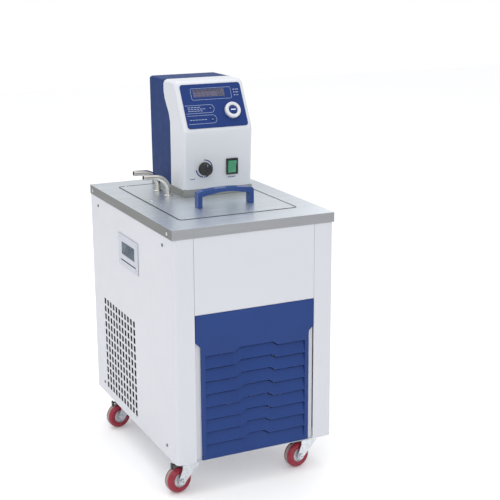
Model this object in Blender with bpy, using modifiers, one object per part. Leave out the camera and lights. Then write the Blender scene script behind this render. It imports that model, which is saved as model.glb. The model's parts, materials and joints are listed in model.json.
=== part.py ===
"""Refrigerated circulating water bath on castors, modelled as separate sub-parts.

Run with: blender --background --python part.py
Frame: metres, +Z up, the front faces -Y, origin on the floor under the cabinet's centre.
"""

import math

import bmesh
import bpy
from mathutils import Matrix, Vector

# ---------------------------------------------------------------- driving dimensions
GAP = 0.0003                 # air between pieces that touch
SHEET = 0.0012               # painted steel sheet
CASTOR_HEIGHT = 0.066        # floor to the underside of the cabinet
DECK_WIDTH = 0.320
DECK_DEPTH = 0.448
DECK_TOP = 0.504
DECK_SKIRT = 0.018
DECK_SHEET = 0.0015
CABINET_X = 0.1587           # half width over the side panels
CABINET_Y = 0.2227           # half depth over the front and back panels
CABINET_TOP = DECK_TOP - DECK_SKIRT - GAP

# openings and covers in the deck
OPENING_X = 0.1185
OPENING_FRONT = -0.1595
OPENING_BACK = 0.1715
LEDGE_TOP = DECK_TOP - 0.0054
COVER_X = 0.117              # half width of the lid and of the bridge plate
LID_FRONT, LID_BACK = -0.158, 0.008
BRIDGE_FRONT, BRIDGE_BACK = 0.0095, 0.170
COVER_TOP = DECK_TOP + 0.0003

# bath tank
TANK_X = 0.106
TANK_FRONT, TANK_BACK = -0.151, 0.161
TANK_BOTTOM = 0.338
FOAM = 0.018

# front grille: a wide head with a narrower louvred body below it
GRILLE_X, GRILLE_BODY_X = 0.1183, 0.1085
GRILLE_TOP, GRILLE_SHOULDER, GRILLE_BOTTOM = 0.345, 0.294, 0.0682
GRILLE_FACE = -0.2235
RECESS_FACE = -0.2185
LOUVRES = 8
LOUVRE_TOP, LOUVRE_PITCH, LOUVRE_SLOT = 0.2672, 0.0244, 0.0032
LOUVRE_RISE, LOUVRE_RAMP = 0.0072, 0.0110

# control head
HEAD_LEFT, HEAD_RIGHT = -0.038, 0.107
HEAD_BACK = 0.190
HEAD_BOTTOM, HEAD_TOP = 0.518, 0.723
HEAD_WALL = 0.0030
PANEL_CENTRE = Vector((0.0345, 0.0306, 0.6763))
PANEL_LEAN = math.radians(28)
HEAD_ROUND = 0.008           # radius of the head's side edges
PANEL_WIDTH, PANEL_HEIGHT = 0.127, 0.090
KNOB_X, KNOB_Z = 0.0045, 0.558
SWITCH_X, SWITCH_Z = 0.0625, 0.5585
PUMP_X, PUMP_Y = 0.0345, 0.118

# castors: swivel axes, and the side to which each wheel trails
CASTOR_X, CASTOR_FRONT, CASTOR_BACK = 0.123, -0.186, 0.145
CASTOR_TRAIL = 0.022
WHEEL_RADIUS, WHEEL_WIDTH = 0.025, 0.021
CASTORS = {
    "front_left": (-CASTOR_X, CASTOR_FRONT, 190),
    "front_right": (CASTOR_X, CASTOR_FRONT, 190),
    "back_left": (-CASTOR_X, CASTOR_BACK, 190),
    "back_right": (CASTOR_X, CASTOR_BACK, -10),
}

# cooling unit in the cabinet
FAN_Z = 0.195
COMPRESSOR_X, COMPRESSOR_Y = 0.045, 0.085

COLOURS = {
    "white_paint": ((0.68, 0.70, 0.75), 0.45, 0.0),
    "steel": ((0.55, 0.57, 0.60), 0.32, 1.0),
    "zinc": ((0.62, 0.66, 0.70), 0.38, 1.0),
    "blue_plastic": ((0.028, 0.068, 0.235), 0.42, 0.0),
    "navy_shell": ((0.035, 0.052, 0.165), 0.45, 0.0),
    "white_plastic": ((0.70, 0.72, 0.77), 0.40, 0.0),
    "black_plastic": ((0.015, 0.015, 0.018), 0.45, 0.0),
    "green_lens": ((0.10, 0.42, 0.22), 0.30, 0.0),
    "red_rubber": ((0.36, 0.035, 0.055), 0.40, 0.0),
    "silicone": ((0.55, 0.55, 0.53), 0.60, 0.0),
    "foam": ((0.65, 0.55, 0.32), 0.90, 0.0),
    "copper": ((0.60, 0.28, 0.16), 0.35, 1.0),
    "aluminium": ((0.60, 0.61, 0.62), 0.45, 1.0),
    "circuit_green": ((0.02, 0.16, 0.07), 0.50, 0.0),
    "display_glass": ((0.09, 0.09, 0.13), 0.15, 0.0),
}


# ---------------------------------------------------------------- scene and materials
def clear_scene():
    for thing in list(bpy.data.objects):
        bpy.data.objects.remove(thing, do_unlink=True)
    for group in list(bpy.data.collections):
        bpy.data.collections.remove(group)


def new_collection(name):
    group = bpy.data.collections.new(name)
    bpy.context.scene.collection.children.link(group)
    return group


clear_scene()
PARTS = new_collection("water_bath")
CUTTERS = new_collection("cutters")


def material(node_name, colour_name):
    colour, roughness, metallic = COLOURS[colour_name]
    made = bpy.data.materials.new(node_name + "_material")
    made.use_nodes = True
    shader = made.node_tree.nodes["Principled BSDF"]
    shader.inputs["Base Color"].default_value = (*colour, 1.0)
    shader.inputs["Roughness"].default_value = roughness
    shader.inputs["Metallic"].default_value = metallic
    made.diffuse_color = (*colour, 1.0)
    return made


# ---------------------------------------------------------------- shape helpers
def add_part(name, mesh, colour_name, parent=None):
    """A named sub-part from a mesh, with a material of its own."""
    part = bpy.data.objects.new(name, mesh)
    PARTS.objects.link(part)
    mesh.materials.clear()
    mesh.materials.append(material(name, colour_name))
    part.parent = parent
    return part


def add_cutter(name, mesh, parent=None):
    cutter = bpy.data.objects.new(name, mesh)
    CUTTERS.objects.link(cutter)
    cutter.hide_render = True
    cutter.display_type = "WIRE"
    cutter.parent = parent
    return cutter


def add_empty(name, location, rotation=(0, 0, 0)):
    empty = bpy.data.objects.new(name, None)
    PARTS.objects.link(empty)
    empty.location = location
    empty.rotation_euler = rotation
    return empty


def mesh_from(bm, name):
    mesh = bpy.data.meshes.new(name)
    bmesh.ops.recalc_face_normals(bm, faces=bm.faces[:])
    bm.to_mesh(mesh)
    bm.free()
    return mesh


def box_mesh(name, *boxes):
    """One mesh of axis-aligned boxes, each given by its low and high corners."""
    bm = bmesh.new()
    for low, high in boxes:
        low, high = Vector(low), Vector(high)
        place = Matrix.Translation((low + high) / 2) @ Matrix.Diagonal((*(high - low), 1))
        bmesh.ops.create_cube(bm, size=1, matrix=place)
    return mesh_from(bm, name)


def rod_mesh(name, *rods, sides=24):
    """One mesh of capped cylinders, each given by its radius, start and end."""
    bm = bmesh.new()
    for radius, start, end in rods:
        start, end = Vector(start), Vector(end)
        turn = (end - start).to_track_quat("Z", "Y").to_matrix().to_4x4()
        bmesh.ops.create_cone(bm, cap_ends=True, segments=sides, radius1=radius, radius2=radius,
                              depth=(end - start).length,
                              matrix=Matrix.Translation((start + end) / 2) @ turn)
    return mesh_from(bm, name)


def outline_mesh(name, outlines, thickness):
    """A flat solid in XY from a filled 2D curve: the first outline, less the others."""
    curve = bpy.data.curves.new(name, "CURVE")
    curve.dimensions = "2D"
    curve.fill_mode = "BOTH"
    curve.extrude = thickness / 2
    for points in outlines:
        spline = curve.splines.new("POLY")
        spline.points.add(len(points) - 1)
        for knot, (x, y) in zip(spline.points, points):
            knot.co = (x, y, 0, 1)
        spline.use_cyclic_u = True
    return mesh_from_curve(name, curve)


def mesh_from_curve(name, curve):
    holder = bpy.data.objects.new(name + "_curve", curve)
    CUTTERS.objects.link(holder)
    bpy.context.view_layer.update()
    evaluated = holder.evaluated_get(bpy.context.evaluated_depsgraph_get())
    mesh = bpy.data.meshes.new_from_object(evaluated)
    mesh.name = name
    bm = bmesh.new()
    bm.from_mesh(mesh)
    bmesh.ops.remove_doubles(bm, verts=bm.verts[:], dist=1e-6)
    bmesh.ops.recalc_face_normals(bm, faces=bm.faces[:])
    bm.to_mesh(mesh)
    bm.free()
    bpy.data.objects.remove(holder, do_unlink=True)
    return mesh


def stand_up(mesh, plane, offset=0.0):
    """Turn a flat XY solid so that it lies in XZ (facing Y) or in YZ (facing X)."""
    turns = {
        "XZ": Matrix(((1, 0, 0, 0), (0, 0, 1, offset), (0, 1, 0, 0), (0, 0, 0, 1))),
        "YZ": Matrix(((0, 0, 1, offset), (1, 0, 0, 0), (0, 1, 0, 0), (0, 0, 0, 1))),
        "XY": Matrix.Translation((0, 0, offset)),
    }
    mesh.transform(turns[plane])
    if plane == "XZ":
        mesh.flip_normals()
    return mesh


def tube_mesh(name, points, radius, resolution=2):
    """A round bar along a polyline that follows a smooth curve."""
    curve = bpy.data.curves.new(name, "CURVE")
    curve.dimensions = "3D"
    curve.bevel_depth = radius
    curve.bevel_resolution = resolution
    curve.use_fill_caps = True
    spline = curve.splines.new("POLY")
    spline.points.add(len(points) - 1)
    for knot, point in zip(spline.points, points):
        knot.co = (*point, 1)
    return mesh_from_curve(name, curve)


def turned(name, profile, colour_name, steps=32, location=(0, 0, 0), rotation=(0, 0, 0),
           parent=None, closed=False):
    """Revolve a (radius, height) profile about the object's Z with a Screw modifier.

    The profile runs down its outer side; a closed profile comes back up its inner side.
    """
    bm = bmesh.new()
    knots = [bm.verts.new((radius, 0, height)) for radius, height in profile]
    for first, second in zip(knots, knots[1:]):
        bm.edges.new((first, second))
    if closed:
        bm.edges.new((knots[-1], knots[0]))
    mesh = bpy.data.meshes.new(name)
    bm.to_mesh(mesh)
    bm.free()
    if colour_name is None:
        part = add_cutter(name, mesh, parent)
    else:
        part = add_part(name, mesh, colour_name, parent)
    part.location = location
    part.rotation_euler = rotation
    screw = part.modifiers.new("turn", "SCREW")
    screw.steps = steps
    screw.render_steps = steps
    screw.use_merge_vertices = True
    screw.merge_threshold = 1e-5
    screw.use_smooth_shade = True
    return part


def subtract(part, cutter):
    change = part.modifiers.new("cut " + cutter.name, "BOOLEAN")
    change.operation = "DIFFERENCE"
    change.object = cutter


def unite(part, extra):
    change = part.modifiers.new("join " + extra.name, "BOOLEAN")
    change.operation = "UNION"
    change.object = extra


def soften(part, width, segments=2, angle=40):
    bevel = part.modifiers.new("soften", "BEVEL")
    bevel.width = width
    bevel.segments = segments
    bevel.limit_method = "ANGLE"
    bevel.angle_limit = math.radians(angle)


def arc(centre, radius, start, end, count):
    """Points on an arc, in degrees, ends included."""
    angles = [math.radians(start + (end - start) * i / count) for i in range(count + 1)]
    return [(centre[0] + radius * math.cos(a), centre[1] + radius * math.sin(a)) for a in angles]


def rectangle(low, high):
    return [low, (high[0], low[1]), high, (low[0], high[1])]


def round_rectangle(low, high, radius, count=4, corners=(True, True, True, True)):
    """A rectangle whose corners, from the low one round anticlockwise, may be round."""
    (x0, y0), (x1, y1) = low, high
    places = [(x0, y0, 180), (x1, y0, 270), (x1, y1, 0), (x0, y1, 90)]
    points = []
    for (x, y, start), is_round in zip(places, corners):
        if is_round:
            centre = (x + math.copysign(radius, (x0 + x1) / 2 - x),
                      y + math.copysign(radius, (y0 + y1) / 2 - y))
            points += arc(centre, radius, start, start + 90, count)
        else:
            points.append((x, y))
    return points


def smooth_path(points, bend, count=5):
    """A polyline whose inner corners are rounded to the bend radius."""
    points = [Vector(point) for point in points]
    path = [points[0]]
    for before, corner, after in zip(points, points[1:], points[2:]):
        back, forth = (before - corner).normalized(), (after - corner).normalized()
        half_angle = back.angle(forth) / 2
        reach = bend / math.tan(half_angle)
        centre = corner + (back + forth).normalized() * bend / math.sin(half_angle)
        start, end = corner + back * reach - centre, corner + forth * reach - centre
        for i in range(count + 1):
            path.append(centre + start.normalized().slerp(end.normalized(), i / count) * bend)
    path.append(points[-1])
    return path


# ---------------------------------------------------------------- castors
def build_castor(corner, x, y, heading):
    """Plate with kingpin, swivelling fork, axle and wheel; local +X points to the trailing side."""
    swivel = add_empty(f"castor_{corner}_swivel", (x, y, 0), (0, 0, math.radians(heading)))
    hub = add_empty(f"castor_{corner}_hub", (CASTOR_TRAIL, 0, WHEEL_RADIUS))
    hub.parent = swivel
    build_castor_plate(f"castor_{corner}_plate", x, y)
    build_castor_fork(f"castor_{corner}_fork", swivel)
    build_castor_axle(f"castor_{corner}_axle", hub)
    build_castor_wheel(f"castor_{corner}_wheel", hub)


PLATE_TOP = CASTOR_HEIGHT - GAP
PLATE_BOTTOM = PLATE_TOP - 0.0025
FORK_TOP = 0.0600
YOKE_TOP, YOKE_BOTTOM = 0.0562, 0.0536
FORK_INSIDE, FORK_SHEET = 0.0127, 0.0022


def build_castor_plate(name, x, y):
    half_x, half_y = 0.029, 0.025
    outline = round_rectangle((-half_x, -half_y), (half_x, half_y), 0.006, 2)
    plate = add_part(name, stand_up(outline_mesh(name, [outline], PLATE_TOP - PLATE_BOTTOM), "XY",
                                    (PLATE_TOP + PLATE_BOTTOM) / 2), "zinc")
    plate.location = (x, y, 0)
    dish_top = PLATE_BOTTOM + 0.001
    kingpin = turned(name + "_kingpin", [
        (0, dish_top), (0.0195, dish_top), (0.0195, FORK_TOP + GAP),
        (0.004, FORK_TOP + GAP), (0.004, 0.0530), (0.0068, 0.0530), (0.0062, 0.0507),
        (0, 0.0507)], None, 16, (x, y, 0))
    unite(plate, kingpin)


def build_castor_fork(name, swivel):
    head = turned(name, [
        (0.0043, FORK_TOP), (0.0208, FORK_TOP), (0.0192, YOKE_BOTTOM + 0.0004),
        (0.0043, YOKE_BOTTOM + 0.0004)], "zinc", 18, parent=swivel, closed=True)
    outside = FORK_INSIDE + FORK_SHEET
    half_width = outside - 0.0005
    yoke_outline = round_rectangle((-0.0165, -half_width), (0.0200, half_width), 0.004, 2)
    hole = arc((0, 0), 0.0060, 0, 330, 11)
    yoke = add_cutter(name + "_yoke", stand_up(
        outline_mesh(name + "_yoke", [yoke_outline, hole], YOKE_TOP - YOKE_BOTTOM), "XY",
        (YOKE_TOP + YOKE_BOTTOM) / 2), swivel)
    unite(head, yoke)
    foot = (CASTOR_TRAIL, WHEEL_RADIUS)
    leg_outline = [(-0.0150, YOKE_TOP - GAP), (-0.0150, 0.0500)]
    leg_outline += arc(foot, 0.0075, 205, 375, 5)
    leg_outline += [(0.0200, 0.0490), (0.0200, YOKE_TOP - GAP)]
    axle_hole = arc(foot, 0.0034, 0, 330, 11)
    for side in (-1, 1):
        middle = side * (FORK_INSIDE + FORK_SHEET / 2)
        leg = stand_up(outline_mesh(name + "_leg", [leg_outline, axle_hole], FORK_SHEET), "XZ", middle)
        unite(head, add_cutter(f"{name}_leg{side:+d}", leg, swivel))


def build_castor_axle(name, hub):
    reach = FORK_INSIDE + FORK_SHEET + GAP
    turned(name, [
        (0, reach + 0.0026), (0.0044, reach + 0.0026), (0.0050, reach),
        (0.0030, reach), (0.0030, -reach), (0.0050, -reach),
        (0.0044, -reach - 0.0026), (0, -reach - 0.0026)],
        "zinc", 12, rotation=(math.pi / 2, 0, 0), parent=hub)


def build_castor_wheel(name, hub):
    half = WHEEL_WIDTH / 2
    upper = [(0.0034, half + 0.0012), (0.0074, half + 0.0012), (0.0080, half - 0.0024),
             (0.0152, half - 0.0024), (0.0168, half), (WHEEL_RADIUS, half - 0.0045)]
    lower = [(radius, -height) for radius, height in reversed(upper)]
    turned(name, upper + lower, "red_rubber", 24, rotation=(math.pi / 2, 0, 0), parent=hub,
           closed=True)


# ---------------------------------------------------------------- cabinet
def build_base_pan():
    low, high = (-0.157, -0.2083, CASTOR_HEIGHT), (0.157, 0.2210, 0.082)
    pan = add_part("base_pan", box_mesh("base_pan", (low, high)), "white_paint")
    inside = box_mesh("base_pan_inside", ((low[0] + SHEET, low[1] + SHEET, low[2] + SHEET),
                                          (high[0] - SHEET, high[1] - SHEET, high[2] + 0.01)))
    subtract(pan, add_cutter("base_pan_inside", inside))


FRAME_X, FRAME_FRONT, FRAME_BACK = 0.1568, -0.2078, 0.2204
FRAME_POST = 0.015


def build_inner_frame():
    """Welded frame: an angle ring under the deck on four corner posts."""
    top, base = DECK_TOP - DECK_SHEET - GAP, CASTOR_HEIGHT + SHEET + GAP
    wall, leaf, depth = 0.002, 0.020, 0.040
    low, high = (-FRAME_X, FRAME_FRONT), (FRAME_X, FRAME_BACK)
    frame = add_part("inner_frame", box_mesh(
        "inner_frame", ((*low, top - depth), (*high, top))), "white_paint")
    hollow = box_mesh(
        "inner_frame_hollow",
        ((low[0] + wall, low[1] + wall, top - depth - 0.01), (high[0] - wall, high[1] - wall, top - wall)))
    subtract(frame, add_cutter("inner_frame_hollow", hollow))
    opening = box_mesh("inner_frame_opening", ((low[0] + leaf, low[1] + leaf, top - 0.01),
                                               (high[0] - leaf, high[1] - leaf, top + 0.01)))
    subtract(frame, add_cutter("inner_frame_opening", opening))
    posts = []
    inset = SHEET + GAP
    for x in (-FRAME_X + inset, FRAME_X - inset - FRAME_POST):
        for y in (FRAME_FRONT + inset, FRAME_BACK - inset - FRAME_POST):
            posts.append(((x, y, base), (x + FRAME_POST, y + FRAME_POST, top - wall / 2)))
    unite(frame, add_cutter("inner_frame_posts", box_mesh("inner_frame_posts", *posts)))


VENT_COLUMNS, VENT_ROWS = 11, 12
VENT_PITCH_Y, VENT_PITCH_Z = 0.0170, 0.0166
VENT_LOW_Y, VENT_LOW_Z = -0.0185, 0.0840
VENT_SLOT_Y, VENT_SLOT_Z = 0.0106, 0.0124
SIDE_VENT_ROWS = 3


def wrapped_side_mesh(name):
    """Left side sheet as a plan outline: side, round front corner, front return, inward lip."""
    x, y, bend, edge = -CABINET_X, -CABINET_Y, 0.008, -0.1193
    lip = RECESS_FACE - 0.0020
    outer = [(x, 0.2212)] + arc((x + bend, y + bend), bend, 180, 270, 5) + [(edge, y), (edge, lip)]
    inner = [(edge - SHEET, lip), (edge - SHEET, y + SHEET)]
    inner += arc((x + bend, y + bend), bend - SHEET, 270, 180, 5) + [(x + SHEET, 0.2212)]
    height = CABINET_TOP - CASTOR_HEIGHT
    return stand_up(outline_mesh(name, [outer + inner], height), "XY",
                    (CABINET_TOP + CASTOR_HEIGHT) / 2)


GRIP_Y, GRIP_Z = 0.003, 0.40975
GRIP_PLATE_Y, GRIP_PLATE_Z = 0.108, 0.0625
GRIP_WINDOW_Y, GRIP_WINDOW_Z, GRIP_WINDOW_LIFT = 0.071, 0.025, 0.0045


def grip_box(side, near, far, half_y, half_z, lift=GRIP_WINDOW_LIFT):
    """A box that straddles one side panel, between two distances from the mid plane."""
    x = sorted((side * near, side * far))
    return ((x[0], GRIP_Y - half_y, GRIP_Z + lift - half_z), (x[1], GRIP_Y + half_y, GRIP_Z + lift + half_z))


def build_side_panel(name, side):
    """side is -1 for the left panel and +1 for the right one."""
    mesh = wrapped_side_mesh(name)
    if side > 0:
        mesh.transform(Matrix.Diagonal((-1, 1, 1, 1)))
        mesh.flip_normals()
    panel = add_part(name, mesh, "white_paint")
    pocket = grip_box(side, 0.150, 0.170, 0.0430, 0.0230, -0.0008)
    slots = [pocket]
    x = sorted((side * 0.150, side * 0.170))
    rows, pitch, height = VENT_ROWS, VENT_PITCH_Z, VENT_SLOT_Z
    if side > 0:
        pitch = VENT_PITCH_Z * VENT_ROWS / SIDE_VENT_ROWS
        rows, height = SIDE_VENT_ROWS, pitch - 0.012
    for column in range(VENT_COLUMNS):
        y = VENT_LOW_Y + column * VENT_PITCH_Y
        for row in range(rows):
            z = VENT_LOW_Z + row * pitch
            slots.append(((x[0], y, z), (x[1], y + VENT_SLOT_Y, z + height)))
    subtract(panel, add_cutter(name + "_slots", box_mesh(name + "_slots", *slots)))


def build_grip(name, side):
    """Recessed hand grip: a plate outside the panel with a pocket behind its window."""
    surface = CABINET_X + GAP
    grip = add_part(name, box_mesh(name, grip_box(
        side, surface, surface + SHEET, GRIP_PLATE_Y / 2, GRIP_PLATE_Z / 2, 0)), "steel")
    pocket = box_mesh(name + "_pocket", grip_box(side, 0.131, surface + SHEET / 2, 0.0385, 0.0155))
    unite(grip, add_cutter(name + "_pocket", pocket))
    hollow = box_mesh(name + "_hollow", grip_box(
        side, 0.1325, surface + 0.01, GRIP_WINDOW_Y / 2, GRIP_WINDOW_Z / 2))
    subtract(grip, add_cutter(name + "_hollow", hollow))
    slot = box_mesh(name + "_slot", grip_box(side, surface - 0.01, surface + 0.01, 0.041, 0.0011, -0.0195))
    subtract(grip, add_cutter(name + "_slot", slot))


INLET_X, INLET_Z = -0.095, 0.130


def build_back_panel():
    outline = rectangle((-CABINET_X, CASTOR_HEIGHT), (CABINET_X, CABINET_TOP))
    holes = [rectangle((INLET_X - 0.0142, INLET_Z - 0.0106), (INLET_X + 0.0142, INLET_Z + 0.0106))]
    rows, pitch, low = 9, 0.018, 0.150
    for row in range(rows):
        z = low + row * pitch
        holes.append(rectangle((0.010, z), (0.130, z + 0.006)))
    mesh = stand_up(outline_mesh("back_panel", [outline] + holes, SHEET), "XZ", CABINET_Y - SHEET / 2)
    add_part("back_panel", mesh, "white_paint")


def build_power_inlet():
    face = CABINET_Y + GAP
    flange = box_mesh("power_inlet", ((INLET_X - 0.024, face, INLET_Z - 0.0140),
                                      (INLET_X + 0.024, face + 0.0009, INLET_Z + 0.0140)))
    inlet = add_part("power_inlet", flange, "black_plastic")
    body = box_mesh("power_inlet_body", ((INLET_X - 0.0138, face - 0.022, INLET_Z - 0.0102),
                                         (INLET_X + 0.0138, face + 0.0005, INLET_Z + 0.0102)))
    unite(inlet, add_cutter("power_inlet_body", body))
    socket = box_mesh("power_inlet_socket", ((INLET_X - 0.012, face - 0.017, INLET_Z - 0.0083),
                                             (INLET_X + 0.012, face + 0.01, INLET_Z + 0.0083)))
    subtract(inlet, add_cutter("power_inlet_socket", socket))
    pins = [((INLET_X + x - 0.001, face - 0.0175, INLET_Z + z - 0.0020),
             (INLET_X + x + 0.001, face - 0.003, INLET_Z + z + 0.0020))
            for x, z in ((-0.007, -0.002), (0.007, -0.002), (0, 0.002))]
    unite(inlet, add_cutter("power_inlet_pins", box_mesh("power_inlet_pins", *pins)))


def build_front_panel():
    """One folded sheet: the upper face, a step back above the grille, and the bottom lip."""
    face, recess = -CABINET_Y, RECESS_FACE
    step, bottom = GRILLE_TOP + GAP, CASTOR_HEIGHT
    outer = [(face, CABINET_TOP), (face, step), (recess, step), (recess, bottom + SHEET),
             (face, bottom + SHEET), (face, bottom)]
    inner = [(recess + SHEET, bottom), (recess + SHEET, step + SHEET), (face + SHEET, step + SHEET),
             (face + SHEET, CABINET_TOP)]
    mesh = stand_up(outline_mesh("front_panel", [outer + inner], 2 * 0.1189), "YZ")
    panel = add_part("front_panel", mesh, "white_paint")
    intake = box_mesh("front_panel_intake", ((-0.1025, -0.23, 0.0710), (0.1025, -0.20, 0.2950)))
    subtract(panel, add_cutter("front_panel_intake", intake))


def grille_outline(inset):
    """T-shaped front outline in XZ with 45 degree shoulders, drawn in by an inset."""
    wide, narrow = GRILLE_X - inset, GRILLE_BODY_X - inset
    top, bottom = GRILLE_TOP - inset, GRILLE_BOTTOM + inset
    shoulder = GRILLE_SHOULDER + inset * math.tan(math.radians(22.5))
    right = [(narrow, bottom), (narrow, shoulder - (GRILLE_X - GRILLE_BODY_X)), (wide, shoulder),
             (wide, top)]
    return right + [(-x, z) for x, z in reversed(right)]


def louvre_slot(row):
    """A slot whose middle stretch steps up; the raised stretch is shorter on lower rows."""
    z = LOUVRE_TOP - row * LOUVRE_PITCH
    end, flat = 0.1005, 0.0338 - 0.0026 * row
    foot = flat + LOUVRE_RAMP
    line = [(-end, z), (-foot, z), (-flat, z + LOUVRE_RISE), (flat, z + LOUVRE_RISE),
            (foot, z), (end, z)]
    return line + [(x, height - LOUVRE_SLOT) for x, height in reversed(line)]


def build_front_grille():
    wall, back = 0.0028, RECESS_FACE - 0.0012
    depth = back - GRILLE_FACE
    outer = stand_up(outline_mesh("front_grille", [grille_outline(0)], depth), "XZ",
                     GRILLE_FACE + depth / 2)
    grille = add_part("front_grille", outer, "blue_plastic")
    hollow = stand_up(outline_mesh("front_grille_hollow", [grille_outline(wall)], depth), "XZ",
                      GRILLE_FACE + wall + depth / 2)
    subtract(grille, add_cutter("front_grille_hollow", hollow))
    for row in range(LOUVRES):
        slot = stand_up(outline_mesh("louvre_slot", [louvre_slot(row)], 0.012), "XZ", GRILLE_FACE)
        subtract(grille, add_cutter(f"louvre_slot_{row}", slot))


# ---------------------------------------------------------------- deck, tank and covers
def build_deck():
    """Pressed steel deck: a top with a skirt outside and a turned-down lip round its opening."""
    half_x, half_y = DECK_WIDTH / 2, DECK_DEPTH / 2
    bottom, under = DECK_TOP - DECK_SKIRT, DECK_TOP - DECK_SHEET
    outline = round_rectangle((-half_x, -half_y), (half_x, half_y), 0.0016, 2)
    deck = add_part("deck", stand_up(outline_mesh("deck", [outline], DECK_SKIRT), "XY",
                                     DECK_TOP - DECK_SKIRT / 2), "steel")
    lip = LEDGE_TOP + GAP
    rim_low = (-OPENING_X - DECK_SHEET, OPENING_FRONT - DECK_SHEET)
    rim_high = (OPENING_X + DECK_SHEET, OPENING_BACK + DECK_SHEET)
    rim = round_rectangle(rim_low, rim_high, 0.0115)
    pocket_low = (-half_x + DECK_SHEET, -half_y + DECK_SHEET)
    pocket_high = (half_x - DECK_SHEET, half_y - DECK_SHEET)
    ring_depth = under - lip
    pocket = outline_mesh("deck_pocket", [rectangle(pocket_low, pocket_high), rim], ring_depth)
    subtract(deck, add_cutter("deck_pocket", stand_up(pocket, "XY", (under + lip) / 2)))
    below = box_mesh("deck_below", ((*pocket_low, bottom - 0.01), (*pocket_high, lip)))
    subtract(deck, add_cutter("deck_below", below))
    opening = round_rectangle((-OPENING_X, OPENING_FRONT), (OPENING_X, OPENING_BACK), 0.010)
    opening_mesh = outline_mesh("deck_opening", [opening], 0.03)
    subtract(deck, add_cutter("deck_opening", stand_up(opening_mesh, "XY", DECK_TOP)))


COIL_EXITS = ((-0.040, 0.4820), (-0.070, 0.4820))     # X and Z where the coil leaves the tank


def exit_rods(name, radius, start_y, end_y):
    return rod_mesh(name, *[(radius, (x, start_y, z), (x, end_y, z)) for x, z in COIL_EXITS], sides=16)


def build_tank():
    wall = 0.0010
    low, high = (-TANK_X, TANK_FRONT, TANK_BOTTOM), (TANK_X, TANK_BACK, LEDGE_TOP)
    tank = add_part("tank", box_mesh("tank", (low, high)), "steel")
    ledge = box_mesh("tank_ledge", ((-0.124, -0.165, LEDGE_TOP - SHEET), (0.124, 0.177, LEDGE_TOP)))
    unite(tank, add_cutter("tank_ledge", ledge))
    inside = box_mesh("tank_inside", ((low[0] + wall, low[1] + wall, low[2] + wall),
                                      (high[0] - wall, high[1] - wall, high[2] + 0.01)))
    subtract(tank, add_cutter("tank_inside", inside))
    subtract(tank, add_cutter("tank_exits", exit_rods("tank_exits", 0.0046, 0.150, 0.170)))


def build_insulation():
    clearance = 0.0005
    top = LEDGE_TOP - SHEET - GAP
    low = (-TANK_X - FOAM, TANK_FRONT - FOAM, TANK_BOTTOM - FOAM)
    high = (TANK_X + FOAM, TANK_BACK + FOAM, top)
    foam = add_part("tank_insulation", box_mesh("tank_insulation", (low, high)), "foam")
    hollow = box_mesh("tank_insulation_hollow", (
        (-TANK_X - clearance, TANK_FRONT - clearance, TANK_BOTTOM - clearance),
        (TANK_X + clearance, TANK_BACK + clearance, top + 0.01)))
    subtract(foam, add_cutter("tank_insulation_hollow", hollow))
    subtract(foam, add_cutter("foam_exits", exit_rods("foam_exits", 0.0046, 0.155, 0.190)))


TUBE_RADIUS = 0.0055
OUTLET_TUBE = (-0.059, 0.100)
RETURN_TUBE = (-0.057, 0.050)
HEATER_X, HEATER_Y = 0.058, 0.050
PROBE_X, PROBE_Y = 0.000, 0.040


def cover_tray(name, low, high, corners, edge_drop):
    """A flat cover with its edges folded down."""
    outline = round_rectangle(low, high, 0.010, 4, corners)
    inset = SHEET
    inner_low, inner_high = (low[0] + inset, low[1] + inset), (high[0] - inset, high[1] - inset)
    inner = round_rectangle(inner_low, inner_high, 0.0088, 4, corners)
    tray = add_part(name, stand_up(outline_mesh(name, [outline], edge_drop), "XY",
                                   COVER_TOP - edge_drop / 2), "steel")
    hollow = stand_up(outline_mesh(name + "_hollow", [inner], edge_drop), "XY",
                      COVER_TOP - SHEET - edge_drop / 2)
    subtract(tray, add_cutter(name + "_hollow", hollow))
    return tray


def build_bridge_plate():
    plate = cover_tray("bridge_plate", (-COVER_X, BRIDGE_FRONT), (COVER_X, BRIDGE_BACK),
                       (False, False, True, True), COVER_TOP - LEDGE_TOP - GAP)
    top, bottom = COVER_TOP + 0.01, COVER_TOP - 0.01
    holes = [(TUBE_RADIUS + 0.0005, OUTLET_TUBE), (TUBE_RADIUS + 0.0005, RETURN_TUBE),
             (0.0145, (PUMP_X, PUMP_Y)), (0.0046, (HEATER_X, HEATER_Y)),
             (0.0046, (HEATER_X + 0.022, HEATER_Y)), (0.0034, (PROBE_X, PROBE_Y))]
    rods = [(radius, (*place, bottom), (*place, top)) for radius, place in holes]
    subtract(plate, add_cutter("bridge_plate_holes", rod_mesh("bridge_plate_holes", *rods, sides=16)))


GASKET_HEIGHT = 0.0018


def build_lid():
    drop = COVER_TOP - LEDGE_TOP - GASKET_HEIGHT - 2 * GAP
    low, high = (-COVER_X, LID_FRONT), (COVER_X, LID_BACK)
    lid = cover_tray("lid", low, high, (True, True, False, False), drop)
    for x in HANDLE_FEET:
        hole = rod_mesh("lid_screw_hole", (0.0028, (x, HANDLE_Y, COVER_TOP - 0.01),
                                           (x, HANDLE_Y, COVER_TOP + 0.01)))
        subtract(lid, add_cutter("lid_screw_hole", hole))
    near, far = 0.0015, 0.0075       # the seal's two edges, in from the lid's own
    outer = round_rectangle((low[0] + near, low[1] + near), (high[0] - near, high[1] - near),
                            0.009, 4, (True, True, False, False))
    inner = round_rectangle((low[0] + far, low[1] + far), (high[0] - far, high[1] - far),
                            0.004, 2, (True, True, False, False))
    gasket = outline_mesh("lid_gasket", [outer, inner], GASKET_HEIGHT)
    add_part("lid_gasket", stand_up(gasket, "XY", LEDGE_TOP + GAP + GASKET_HEIGHT / 2), "silicone")


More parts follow.
